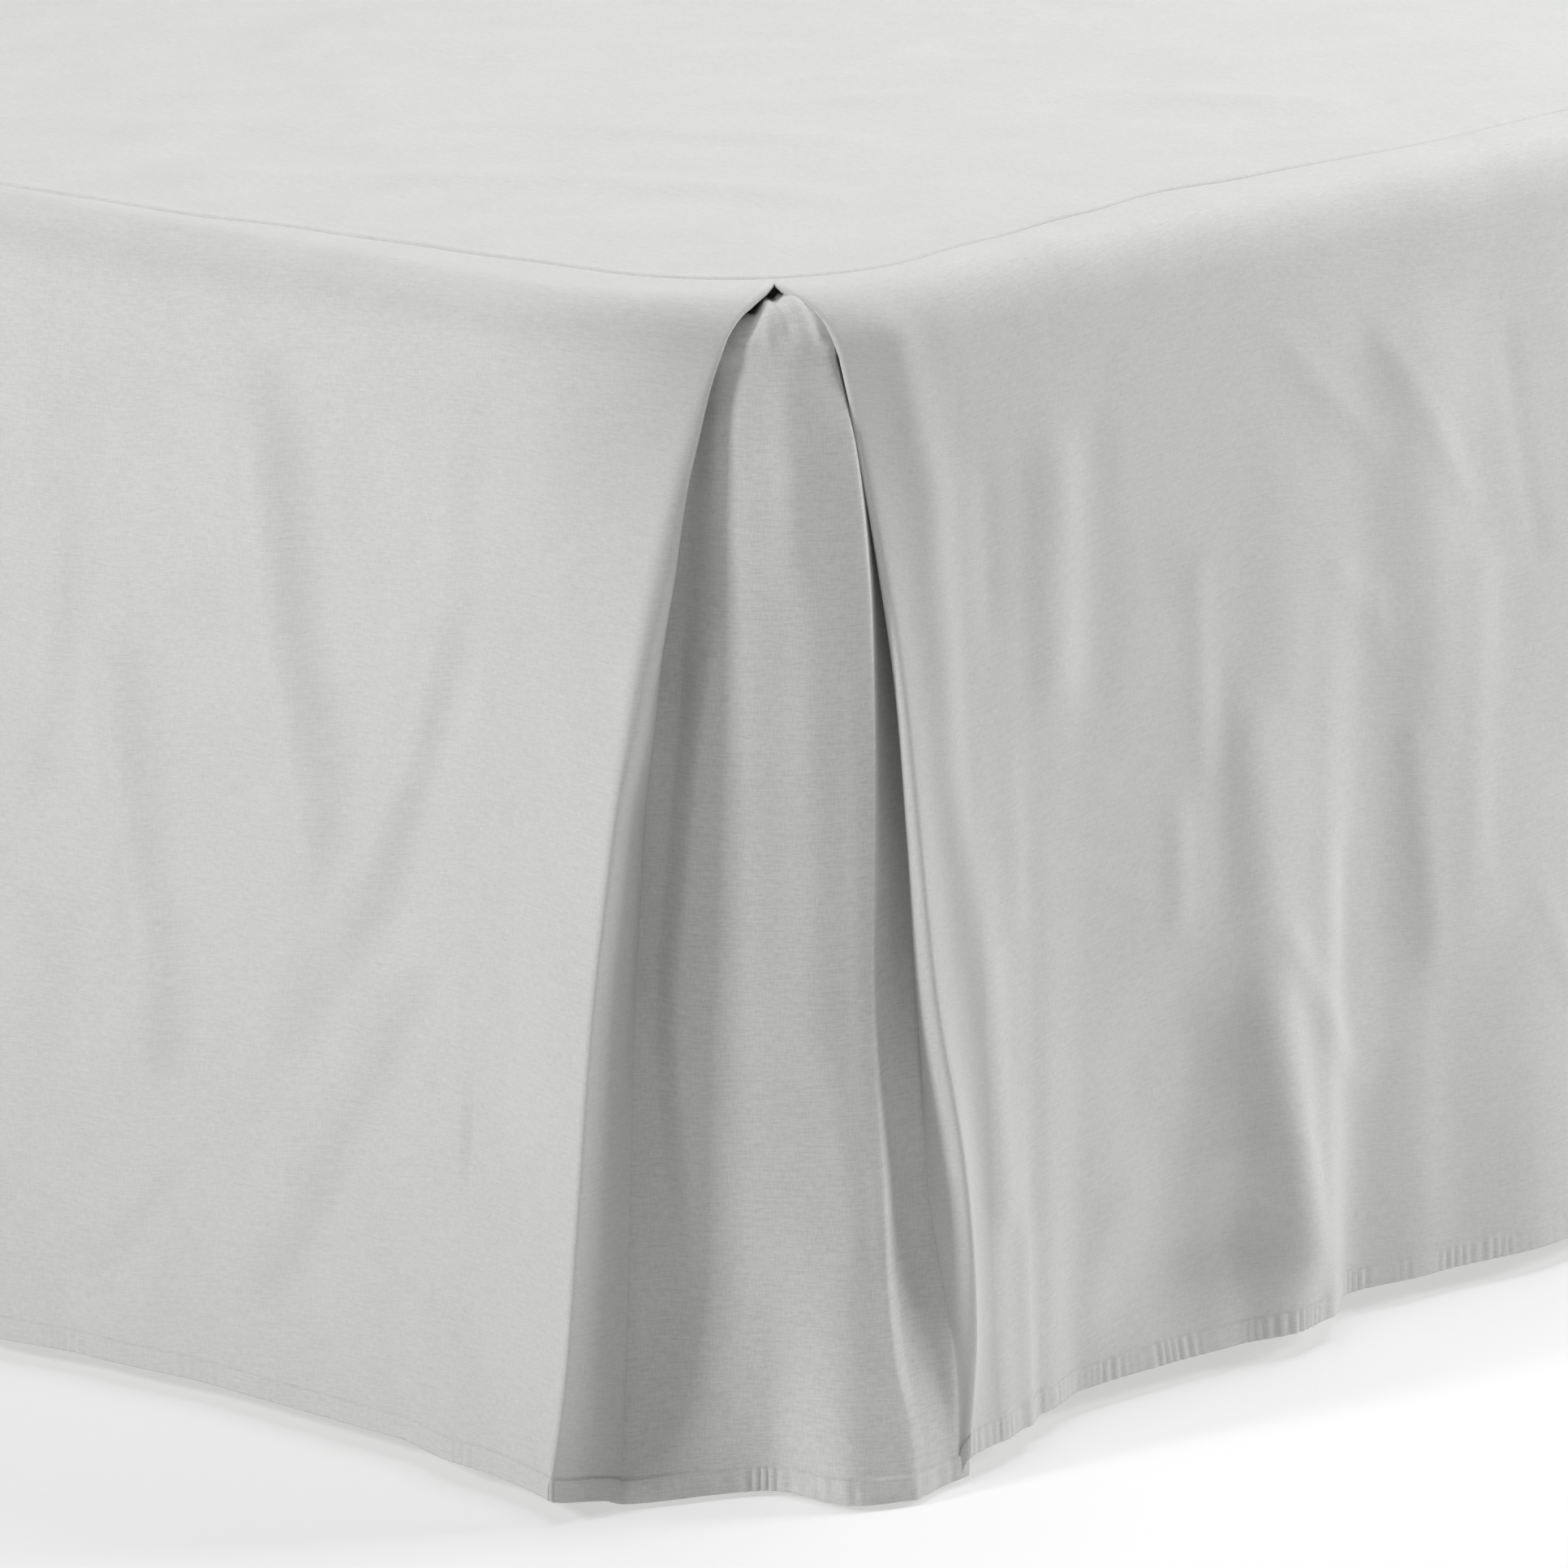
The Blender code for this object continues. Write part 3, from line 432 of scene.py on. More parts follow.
def hang_swing(row, hem_swing, rise=0.0):
    """How far a hanging row stands outside the bed's face."""
    stretch, part = row[:2]
    if stretch != "hang":
        return 0.0
    least = -INWARD_LIMIT * ease((part - INWARD_FROM) / (1 - INWARD_FROM))
    wanted = (EASE + rise) * ease(part / EASE_BY) + hem_swing * part ** HANG_POWER
    return (wanted + least + math.hypot(wanted - least, SWING_SOFTNESS)) / 2


def row_detail(row, place, drop, creases, seed):
    """Small relief at a row: what stands out from the main folds."""
    stretch, part = row[:2]
    relief = fold_rise(creases, place, drop)
    relief += slack(place, drop, seed, ease(drop / 0.12))
    if stretch != "hang":
        return max(relief, LEAST_RELIEF)
    relief = max(relief, LEAST_RELIEF - 0.004 * ease(part / 0.1))
    return relief + pucker(place, HANG_LENGTH * (1 - part))


print(len(cloth_rows()), "rows from seam to hem")

# %% [markdown]
# Deck and panels are sewn edge to edge with the allowance inside, so both
# turn down a little at the seam. That small groove is what reads as a seam
# line. It is tight near the corners and looser along the bed.

# %% The seam's groove
SEAM_TURN = (              # distance from the seam, fall
    (0.0, 0.0015), (0.0008, 0.0006), (0.0017, 0.0), (1.0, 0.0))


def seam_turn(distance, tight=1.0):
    """How far an edge turns down towards its seam."""
    return between(SEAM_TURN, distance, 1, False) * tight


# %% [markdown]
# The corner is worked out round the centre of the seam's curve: an angle, and a
# way out from the seam. `tip` finds where a panel's fold stands at each row, so
# the arch of the pleat follows the table.

# %% The corner
def corner_inset(angle):
    """Seam inset round the corner: the foot's at 0, the side's at 90 degrees."""
    foot = FOOT_SEAM[0][1] * math.cos(angle) ** 2
    return foot + SIDE_SEAM[0][1] * math.sin(angle) ** 2


def pleat_drop(row):
    """Drop of a row where the panels meet."""
    return row_drop(row, corner_inset(PLEAT_FACING))


def level(row, side, what):
    """What PLEAT_LEVELS says of the foot panel (side -1) or a side panel (side 1) at a row."""
    return flowing(PLEAT_LEVELS, pleat_drop(row), PLEAT_COLUMNS[what][side > 0])


def tip(row, side):
    """Angle and swing of a panel's fold at a row."""
    offset = MEETING_OFFSET + side * max(level(row, side, "gap"), MEETING_GAP)
    if row[0] == "hang":
        reach = SEAM_CORNER_RADIUS + level(row, side, "out")
        angle = PLEAT_FACING + math.atan2(offset, reach)
        return angle, math.hypot(offset, reach) - SEAM_CORNER_RADIUS - corner_inset(angle)
    angle = PLEAT_FACING
    for _ in range(4):
        out, _height = row_place(row, corner_inset(angle), 0.0)
        angle = PLEAT_FACING + math.asin(offset / (SEAM_CORNER_RADIUS + out))
    return angle, 0.0


def radius_at(angle, row, swing):
    """Distance of a panel's surface from the centre of the seam's corner."""
    return SEAM_CORNER_RADIUS + row_place(row, corner_inset(angle), swing)[0]


def corner_point(angle, row, swing, depth=0.0, hem=HEM_HEIGHT):
    """A point of the right foot corner, depth behind the panels' surface."""
    out, height = row_place(row, corner_inset(angle), swing, depth, hem)
    reach = SEAM_CORNER_RADIUS + out
    return Vector((CORNER_X + reach * math.sin(angle), CORNER_Y - reach * math.cos(angle), height))


for side in (-1, 1):
    print(f"fold at the hem: {math.degrees(tip(('hang', 1.0), side)[0]):.1f} degrees round the corner")

# %% [markdown]
# A panel is a grid of points. Most of it is straight, the rest runs round the
# corner to the fold, round the fold, and back along the return. Each point also
# keeps its place on the flat cloth in metres, which later guides the threads.

# %% Columns round the corner and behind the fold
ARC_STEPS = 28
RETURN_STEPS = 16
ARC_LENGTH = 0.115         # of cloth, roughly, from the straight to the fold
RETURN_LENGTH = 0.045      # of cloth behind the fold, roughly
RETURN_FROM = 0.1          # part of the flat where the return begins


def arc_columns(row, side, panel):
    """Points from the straight part of a panel to its fold."""
    hem_table, folds, creases, seed = panel
    start = 0.0 if side < 0 else QUARTER
    tip_angle, tip_swing = tip(row, side)
    first = hem_table[0]
    steps = ARC_STEPS * row[2]
    line = []
    for step in range(1, steps + 1):
        part = step / steps
        angle = start + (tip_angle - start) * part
        drop = row_drop(row, corner_inset(angle))
        rise = fold_rise(folds, first[0], row_drop(row, first[1])) * (1 - ease(part))
        swing = hang_swing(row, first[1], rise)
        swing += (tip_swing - swing) * part ** FLARE_POWER
        bare = corner_point(angle, row, swing)
        place = HALF_WIDTH - bare.x if side < 0 else bare.y - FOOT_FACE
        detail = row_detail(row, place, drop, creases, seed) * (1 - ease((part - 0.9) / 0.1))
        if row[0] == "hang":
            point = corner_point(angle, row, swing + detail)
        else:
            point = corner_point(angle, row, 0.0, seam_turn(drop, 0.4) - detail)
        line.append((point, (first[0] - ARC_LENGTH * part, drop)))
    return line


def return_columns(row, side, first):
    """Points round the fold and along the return."""
    steps = RETURN_STEPS * row[2]
    if row[0] == "flat" and row[1] < RETURN_FROM:
        return [None] * steps
    tip_angle, swing = tip(row, side)
    radius = radius_at(tip_angle, row, swing)
    reach, depth = level(row, side, "reach"), level(row, side, "depth")
    bulge = table(FOLD_BULGES, pleat_drop(row), 1 if side < 0 else 2)
    shoulder = max(bulge * 0.7, reach * 0.5)
    along = (0.0, bulge, shoulder, reach)
    inward = (0.0, 0.0, depth, depth)
    drop = row_drop(row, corner_inset(tip_angle))
    line = []
    for step in range(1, steps + 1):
        part = step / steps
        weights = ((1 - part) ** 3, 3 * part * (1 - part) ** 2, 3 * part ** 2 * (1 - part), part ** 3)
        ahead = sum(weight * value for weight, value in zip(weights, along))
        deep = sum(weight * value for weight, value in zip(weights, inward))
        angle = tip_angle - side * ahead / radius
        hem = HEM_HEIGHT + (INSERT_HEM_HEIGHT - HEM_HEIGHT) * part
        place = first - ARC_LENGTH - RETURN_LENGTH * part
        if row[0] == "hang":
            deep -= pucker(place, HANG_LENGTH * (1 - row[1]))
        line.append((corner_point(angle, row, swing, deep, hem), (place, drop)))
    return line


# %% Straight columns
FOOT_STEPS = (0.0055, 0.0075, 0.50)  # near a foot corner, past it, and how far near reaches
RIGHT_STEPS = (0.0055, 0.0085, 0.55)
LEFT_STEPS = (0.0070, 0.0090, 0.55)
FOOT = (FOOT_HEM, FOOT_FOLDS, FOOT_CREASES, 1.0)  # a panel's tables, and the seed of its waves
RIGHT = (SIDE_HEM_RIGHT, SIDE_FOLDS_RIGHT, SIDE_CREASES_RIGHT, 21.0)
LEFT = (SIDE_HEM_LEFT, SIDE_FOLDS_LEFT, SIDE_CREASES_LEFT, 43.0)


def column_places(length, steps, both_ends=False):
    """Places of the straight columns, closer together near a foot corner."""
    near_step, far_step, fine_reach = steps
    places = [0.0]
    while places[-1] < length:
        near = places[-1]
        if both_ends:
            near = min(near, length - near)
        places.append(places[-1] + (near_step if near < fine_reach else far_step))
    scale = length / places[-1]
    return [place * scale for place in places]


def finer(places, times):
    """The same places with more between them."""
    made = []
    for low, high in zip(places, places[1:]):
        made += [low + (high - low) * step / times for step in range(times)]
    return made + places[-1:]


def straight_columns(row, places, seam, panel, spot):
    """Points of the straight part of a panel; spot turns them into bed places."""
    hem_table, folds, creases, seed = panel
    line = []
    for place in finer(places, row[2]):
        inset = table(seam, min(place, BED_WIDTH - place) if seam is FOOT_SEAM else place)
        drop = row_drop(row, inset)
        rise = fold_rise(folds, place, drop)
        detail = row_detail(row, place, drop, creases, seed)
        if row[0] == "hang":
            out, height = row_place(row, inset, hang_swing(row, table(hem_table, place), rise + detail))
        else:
            tight = 0.5 + 0.5 * ease((place - 0.16) / 0.08)
            out, height = row_place(row, inset, 0.0, seam_turn(drop, tight) - detail)
        line.append((spot(place, inset, out, height), (place, drop)))
    return line


def foot_lines():
    """The foot panel, from the right return to the left one."""
    right_start = HALF_WIDTH - CORNER_X
    places = [right_start + place for place in column_places(2 * CORNER_X, FOOT_STEPS, True)]
    lines = []
    for row in cloth_rows():
        corner = arc_columns(row, -1, FOOT) + return_columns(row, -1, FOOT_HEM[0][0])
        straight = straight_columns(
            row, places, FOOT_SEAM, FOOT,
            lambda place, inset, out, height: Vector((HALF_WIDTH - place, FOOT_FACE + inset - out, height)))
        mirrored = [spot and (Vector((-spot[0].x, spot[0].y, spot[0].z)),
                              (BED_WIDTH - spot[1][0], spot[1][1])) for spot in corner]
        lines.append(corner[::-1] + straight + mirrored)
    return lines


def side_lines(panel, steps):
    """A right side panel, from its return to the head end."""
    start = CORNER_Y - FOOT_FACE
    places = [start + place for place in column_places(HEAD_EDGE - CORNER_Y, steps)]
    lines = []
    for row in cloth_rows():
        corner = arc_columns(row, 1, panel) + return_columns(row, 1, panel[0][0][0])
        straight = straight_columns(
            row, places, SIDE_SEAM, panel,
            lambda place, inset, out, height: Vector((HALF_WIDTH - inset + out, FOOT_FACE + place, height)))
        lines.append(corner[::-1] + straight)
    return lines


# %% [markdown]
# The grid becomes a mesh row by row. Where the hem band has more columns than
# the cloth above it, one face simply takes all the points of its lower edge, so
# no crack opens. Solidify gives the sheet its thickness, and twice as much
# along the hem, where the cloth is turned up and doubled.

# %% From points to cloth
def shown(name, data):
    """A new object in the scene."""
    made = bpy.data.objects.new(name, data)
    bpy.context.scene.collection.objects.link(made)
    return made


def sheet_piece(name, points, threads, faces, thickness):
    """A sheet with its threads' places, and the modifier that thickens it to both sides."""
    mesh = bpy.data.meshes.new(name)
    mesh.from_pydata(points, [], faces)
    layer = mesh.uv_layers.new(name="threads")
    for loop in mesh.loops:
        layer.data[loop.index].uv = threads[loop.vertex_index]
    mesh.shade_smooth()
    made = shown(name, mesh)
    shell = made.modifiers.new("cloth thickness", "SOLIDIFY")
    shell.thickness, shell.offset = thickness, 0.0
    print(f"{name}: {len(points)} points, {len(faces)} faces")
    return made, shell


def cloth_piece(name, lines, flip=False):
    """A sheet of cloth from its lines of points."""
    points, threads, marks, faces = [], [], [], []
    for line in lines:
        marks.append([])
        for spot in line:
            if spot is None:
                marks[-1].append(None)
                continue
            marks[-1].append(len(points))
            point, thread = spot
            points.append((-point.x if flip else point.x, point.y + HEAD_SHIFT, point.z))
            threads.append(thread)
    for upper, lower in zip(marks, marks[1:]):
        times = (len(lower) - 1) // (len(upper) - 1)
        for column in range(len(upper) - 1):
            below = lower[column * times:(column + 1) * times + 1]
            face = [upper[column], upper[column + 1]] + below[::-1]
            if None not in face:
                faces.append(face[::-1] if flip else face)
    made, shell = sheet_piece(name, points, threads, faces, CLOTH * 2)
    hem = made.vertex_groups.new(name="hem")
    doubled = {index for line in marks[-len(HEM_ROWS) + 2:] for index in line if index is not None}
    hem.add(list(doubled), 1.0, "REPLACE")
    shell.vertex_group = "hem"
    shell.thickness_vertex_group = 0.5
    return made


foot_cloth = foot_lines()
side_right = side_lines(RIGHT, RIGHT_STEPS)
side_left = side_lines(LEFT, LEFT_STEPS)
foot_panel = cloth_piece("foot_panel", foot_cloth)
panel_right = cloth_piece("side_panel_right", side_right)
panel_left = cloth_piece("side_panel_left", side_left, flip=True)

# %% [markdown]
# The insert is a cloth of its own. It hangs a few centimetres behind the folds
# with soft folds of its own, is bunched under the meeting point, and comes
# forward at its hem. Its depth is read across its width and down its drop.

# %% The insert's folds and its bunched top
INSERT_CREASES = metres((  # in mm: half width, rise, then asides and drops along the crease
    (8, 1.6, (6, 40), (6, 115)),
    (9, 0.9, (11, 70), (14, 160), (16, 330)),
    (12, 0.8, (-10, 100), (-6, 300)),
    (4, 0.8, (35, 170), (37, 300), (40, 360)),
    (4, 1.2, (44, 380), (50, 450), (56, 500), (66, 545))))
INSERT_TUCKS = metres((    # in mm: half width, rise, then asides and drops along the tuck
    (2.2, -2.6, (-4, 4), (-12, 16)),
    (2.6, -1.2, (4, 3), (8, 14)),
    (2.6, -0.9, (18, 6), (22, 18)),
    (2.6, 1.2, (0, 4), (-2, 16)),
    (3, 0.7, (13, 5), (15, 18))))
INSERT_STRETCHES = (3, 12, 14, 16, 14, 16, 10, 8, 10, 3)  # columns from fold to fold
INSERT_ROLL_STEPS = 14
INSERT_FLAT_PARTS = (0.50, 0.65, 0.80, 0.92)
CAVITY = 0.0045            # how much deeper the insert starts under the meeting point
CAVITY_FADE = (0.018, 0.026)  # where that begins to end, and over how much of the drop
CRUMPLE = 0.0011           # of the bunched cloth at its top
CRUMPLE_FADE = (0.008, 0.030)


def return_end(row, side, tuck, lap):
    """Aside and out of the insert behind the end of a return."""
    tip_angle, swing = tip(row, side)
    angle = tip_angle - side * (level(row, side, "reach") - tuck) / radius_at(tip_angle, row, swing)
    radius = radius_at(angle, row, swing) - (level(row, side, "depth") + lap)
    angle -= PLEAT_FACING
    return radius * math.sin(angle) - MEETING_OFFSET, radius * math.cos(angle) - SEAM_CORNER_RADIUS


def insert_section(row):
    """Aside and out of every column of the insert at a hanging row."""
    folds = []
    for number in range(len(INSERT_LEVELS[0][1])):
        course = [(drop, *spots[number]) for drop, spots in INSERT_LEVELS]
        folds.append((flowing(course, pleat_drop(row), 1), flowing(course, pleat_drop(row), 2)))
    seams = [(return_end(row, side, SEAM_TUCK, TUCK_LAP), return_end(row, side, 0.0, SEAM_LAP))
             for side in (-1, 1)]
    folds = [*seams[0]] + folds + [*seams[1][::-1]]
    section = []
    for (low, _), (high, _), steps in zip(folds, folds[1:], INSERT_STRETCHES):
        for step in range(steps * row[2]):
            aside = low + (high - low) * step / (steps * row[2])
            section.append((aside, curve(folds, aside, 1, careful_slope)))
    return section + folds[-1:]


def insert_lines():
    """The insert of the right pleat, from the foot panel's return to the side's."""
    rows = [("flat", part, 1) for part in INSERT_FLAT_PARTS]
    rows += [("roll", step / INSERT_ROLL_STEPS, 1) for step in range(INSERT_ROLL_STEPS + 1)]
    rows += [row for row in cloth_rows() if row[0] == "hang"]
    top_section = insert_section(("hang", 0.0, 1))
    lines = []
    for row in rows:
        drop = pleat_drop(row)
        section = insert_section(row) if row[0] == "hang" else top_section
        line = []
        for index, (aside, out) in enumerate(section):
            part = index / (len(section) - 1)
            middle = 1 - (2 * part - 1) ** 6
            reach = SEAM_CORNER_RADIUS + out
            angle = PLEAT_FACING + math.atan2(aside + MEETING_OFFSET, reach)
            depth = SEAM_CORNER_RADIUS + corner_inset(angle) - math.hypot(aside + MEETING_OFFSET, reach)
            if row[0] != "hang":
                depth += CAVITY * (1 - ease((drop - CAVITY_FADE[0]) / CAVITY_FADE[1])) * middle
            bare = corner_point(angle, row, 0.0, depth, INSERT_HEM_HEIGHT)
            below = DECK_HEIGHT - bare.z
            relief = fold_rise(INSERT_CREASES, aside, below) + fold_rise(INSERT_TUCKS, aside, below)
            relief += slack(aside + 3.0, drop, 61.0, 0.8)
            crumple = noise.noise(Vector((aside * 130, below * 110, 4.0)))
            relief += CRUMPLE * crumple * (1 - ease((below - CRUMPLE_FADE[0]) / CRUMPLE_FADE[1]))
            if row[0] == "hang":
                relief += pucker(aside + 7.0, HANG_LENGTH * (1 - row[1]))
            point = corner_point(angle, row, 0.0, depth - relief * middle, INSERT_HEM_HEIGHT)
            line.append((point, (aside, drop)))
        lines.append(line)
    return lines


insert = insert_lines()
insert_right = cloth_piece("pleat_cloth_right", insert)
insert_left = cloth_piece("pleat_cloth_left", insert, flip=True)

# %% [markdown]
# The deck is one flat sheet, but a sheet that has been folded and spread by
# hand keeps long, low wrinkles. They are laid across it here as lines, like
# the folds of the panels. Rings of points follow the seam, so the groove has
# a clean edge, and an even field of points fills the rest.

# %% The deck's wrinkles
DECK_WRINKLES = metres((   # in mm: half width, rise, then x and y along the wrinkle
    (20, 2.9, (620, -760), (520, -800), (400, -900)),
    (16, 2.2, (560, -640), (380, -740), (300, -830)),
    (22, 2.9, (300, -700), (180, -820)),
    (18, 2.6, (660, -420), (560, -470), (500, -560)),
    (24, 2.9, (420, -460), (200, -620)),
    (28, 2.6, (100, -300), (-50, -420)),
    (18, 2.2, (-50, -760), (-220, -860)),
    (22, 2.6, (-300, -620), (-480, -780)),
    (26, 2.9, (480, 50), (300, -120)),
    (26, 2.6, (-200, 250), (-420, 60)),
    (26, 2.9, (380, 620), (160, 480))))
DECK_LIFT = 0.0009         # of the spread cloth off the base
DECK_SLACK = (0.0010, 0.0006, 0.00016)  # of its broad, middle and small waves
DECK_STEP = 0.0095
DECK_ROW_SHARE = 0.866     # height of an even triangle, for the rows of the field
SEAM_RINGS = (0.0, 0.0005, 0.0011, 0.0020, 0.0036, 0.0062)
RING_MARGIN = 0.003        # between the last ring and the field
SEAM_GAP = 0.0002          # between the deck's edge and the seam
RIDGE_HEIGHT = 0.0006      # of the allowance that lies under the edge
RIDGE_INSET = 0.003


def seam_distance(x, y):
    """How far inside the deck's seam a spot lies, in the bed's own places."""
    x = abs(x)
    if x > CORNER_X and y < CORNER_Y:
        return SEAM_CORNER_RADIUS - math.hypot(x - CORNER_X, y - CORNER_Y)
    side = HALF_WIDTH - table(SIDE_SEAM, y - FOOT_FACE) - x
    place = HALF_WIDTH - x
    foot = y - FOOT_FACE - table(FOOT_SEAM, place)
    return min(side, foot)


def seam_line(step):
    """The seam of the right half, from the middle of the foot to the head."""
    count = int(CORNER_X / step)
    places = [CORNER_X * index / count for index in range(count)]
    line = [(x, FOOT_FACE + table(FOOT_SEAM, HALF_WIDTH - x)) for x in places]
    count = int(SEAM_CORNER_RADIUS * QUARTER / step)
    angles = [QUARTER * index / count for index in range(count)]
    line += [(CORNER_X + SEAM_CORNER_RADIUS * math.sin(angle),
              CORNER_Y - SEAM_CORNER_RADIUS * math.cos(angle)) for angle in angles]
    count = int((HEAD_EDGE - CORNER_Y) / step)
    places = [CORNER_Y + (HEAD_EDGE - CORNER_Y) * index / count for index in range(count + 1)]
    return line + [(HALF_WIDTH - table(SIDE_SEAM, y - FOOT_FACE), y) for y in places]


def deck_height(x, y):
    inside = seam_distance(x, y)
    rise = fold_rise(DECK_WRINKLES, x, y)
    broad = noise.noise(Vector((x * 5, y * 5, 71.0)))
    middle = noise.noise(Vector((x * 12 + y * 5, y * 16 - x * 6, 75.0)))
    small = noise.noise(Vector((x * 34, y * 40, 79.0)))
    rise += DECK_LIFT + DECK_SLACK[0] * broad + DECK_SLACK[1] * middle + DECK_SLACK[2] * small
    rise = max(0.0, rise) * ease(inside / 0.03)
    ridge = RIDGE_HEIGHT * math.exp(-((inside - RIDGE_INSET) / RIDGE_INSET) ** 2)
    return DECK_HEIGHT + rise + ridge - seam_turn(inside, 0.8)


def deck_piece():
    right = seam_line(0.007)
    seam = [(x, y) for x, y in right] + [(-x, y) for x, y in right[:0:-1]]
    spots, edges = [], []
    for ring, inset in enumerate(SEAM_RINGS):
        first = len(spots)
        for index, (x, y) in enumerate(seam):
            before, after = seam[index - 1], seam[(index + 1) % len(seam)]
            if y > HEAD_EDGE - 1e-6:
                inward = Vector((-math.copysign(1.0, x), 0.0))
            else:
                inward = Vector((before[1] - after[1], after[0] - before[0])).normalized()
            spots.append(Vector((x, y)) + inward * (inset + SEAM_GAP))
        if ring == 0:
            edges = [(first + index, first + (index + 1) % len(seam)) for index in range(len(seam))]
    rows = int(BED_LENGTH / (DECK_STEP * DECK_ROW_SHARE))
    for row in range(rows + 1):
        y = HEAD_EDGE - BED_LENGTH * row / rows
        shift = DECK_STEP / 2 if row % 2 else 0.0
        for column in range(-int(HALF_WIDTH / DECK_STEP), int(HALF_WIDTH / DECK_STEP) + 1):
            x = column * DECK_STEP + shift
            if seam_distance(x, y) > SEAM_RINGS[-1] + RING_MARGIN:
                spots.append(Vector((x, y)))
    flat, _edges, faces = geometry.delaunay_2d_cdt(spots, edges, [], 1, 1e-6)[:3]
    points = [(spot.x, spot.y + HEAD_SHIFT, deck_height(spot.x, spot.y)) for spot in flat]
    return sheet_piece("deck_cloth", points, flat, faces, CLOTH)[0]


deck_cloth = deck_piece()

# %% [markdown]
# A hem is turned up and stitched about a centimetre above its edge. The
# stitches are real little loops of thread, half sunk in the cloth, laid along
# the stitch row of each panel at an even pitch.

# %% Stitches along the hems
STITCH_PITCH = 0.0024
STITCH_LENGTH = 0.0016
STITCH_RADIUS = 0.00021
THREAD_LIFT = 0.52         # of a layer: from its middle to the thread
STITCH_SHAPE = ((-0.5, 0.35), (-0.25, 1.0), (0.25, 1.0), (0.5, 0.35))  # part of its length, girth


def finished(name, bm, sharp=180):
    """The object of a bmesh, smooth where its faces meet at less than an angle in degrees."""
    bmesh.ops.recalc_face_normals(bm, faces=bm.faces)
    mesh = bpy.data.meshes.new(name)
    bm.to_mesh(mesh)
    bm.free()
    mesh.shade_smooth()
    if sharp < 180:
        mesh.set_sharp_from_angle(angle=math.radians(sharp))
    return shown(name, mesh)


def stitches(name, lines, flip=False):
    """Short threads along the stitch row of a cloth."""
    row = lines[-len(HEM_ROWS) + HEM_ROWS.index(HEM_BAND)]
    path = [spot[0] for spot in row if spot]
    bm = bmesh.new()
    travelled, due = 0.0, STITCH_PITCH
    for start, end in zip(path, path[1:]):
        length = (end - start).length
        while travelled + length > due:
            middle = start.lerp(end, (due - travelled) / length)
            along = (end - start).normalized()
            out = Vector((along.y, -along.x, 0.0)).normalized()
            if out.x * middle.x + out.y * middle.y < 0:
                out = -out
            down = along.cross(out)
            surface = middle + out * CLOTH * THREAD_LIFT
            rings = []
            for part, girth in STITCH_SHAPE:
                sunk = surface - out * STITCH_RADIUS * (0.2 + 4 * part * part)
                ring = []
                for corner in range(4):
                    turn = QUARTER * corner
                    spot = sunk + along * STITCH_LENGTH * part
                    spot += (out * math.cos(turn) + down * math.sin(turn)) * STITCH_RADIUS * girth
                    ring.append(bm.verts.new((-spot.x if flip else spot.x, spot.y + HEAD_SHIFT, spot.z)))
                rings.append(ring)
            for low, high in zip(rings, rings[1:]):
                for corner in range(4):
                    face = (low[corner], low[corner - 1], high[corner - 1], high[corner])
                    bm.faces.new(face[::-1] if flip else face)
            bm.faces.new(rings[0])
            bm.faces.new(rings[-1][::-1])
            due += STITCH_PITCH
        travelled += length
    print(f"{name}: {int(due / STITCH_PITCH) - 1} stitches")
    return finished(name, bm)


hem_threads = [
    stitches("hem_thread_foot", foot_cloth),
    stitches("hem_thread_right", side_right),
    stitches("hem_thread_left", side_left, flip=True),
    stitches("hem_thread_pleat_right", insert),
    stitches("hem_thread_pleat_left", insert, flip=True)]

# %% [markdown]
# Under the skirt stands a plain upholstered base: a box with rounded foot
# corners, covered in a coarse grey cloth, with a cord sewn round its lower
# edge. Only its head face shows, at the open end.

# %% The bed base
BASE_TOP_ROUND = ROLL_RADIUS + 0.0016
BASE_CORNER_STEPS = 28
BASE_ROUND_STEPS = 12
BASE_FOOT = (              # inset, height above the underside
    (0.004, 0.0), (0.0, 0.003), (0.0, 0.10), (0.0, 0.20))
PIPING_RADIUS = 0.0045


def base_outline(inset=0.0):
    """The base seen from above, counter-clockwise from its foot edge's right end."""
    low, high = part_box("bed_base")
    half_width, foot, head = high.x - inset, low.y + inset, high.y - inset
    radius = BASE_CORNER_RADIUS - inset
    right = [(half_width - radius * (1 - math.sin(QUARTER * step / BASE_CORNER_STEPS)),
              foot + radius * (1 - math.cos(QUARTER * step / BASE_CORNER_STEPS)))
             for step in range(BASE_CORNER_STEPS + 1)]
    right += [(half_width, foot + radius + (head - foot - radius) * step / 12) for step in range(1, 13)]
    left = [(-x, y) for x, y in right[::-1]]
    head_edge = [(half_width * (1 - step / 6), head) for step in range(1, 12)]
    return right + head_edge + left


def base_piece():
    low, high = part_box("bed_base")
    bm = bmesh.new()
    rings = []
    heights = [(inset, low.z + height) for inset, height in BASE_FOOT]
    heights += [(BASE_TOP_ROUND * (1 - math.cos(QUARTER * step / BASE_ROUND_STEPS)),
                 high.z - BASE_TOP_ROUND * (1 - math.sin(QUARTER * step / BASE_ROUND_STEPS)))
                for step in range(BASE_ROUND_STEPS + 1)]
    for inset, height in heights:
        ring = []
        for (x, y), (_x, wide_y) in zip(base_outline(inset), base_outline()):
            at_head = wide_y > high.y - 1e-5 and height > low.z + 0.01
            ring.append(bm.verts.new((x, wide_y if at_head else y, height)))
        rings.append(ring)
    for lower, upper in zip(rings, rings[1:]):
        for index in range(len(lower)):
            bm.faces.new((lower[index - 1], lower[index], upper[index], upper[index - 1]))
    bm.faces.new(rings[-1])
    bm.faces.new(rings[0][::-1])
    return finished("base_cover", bm, 35)


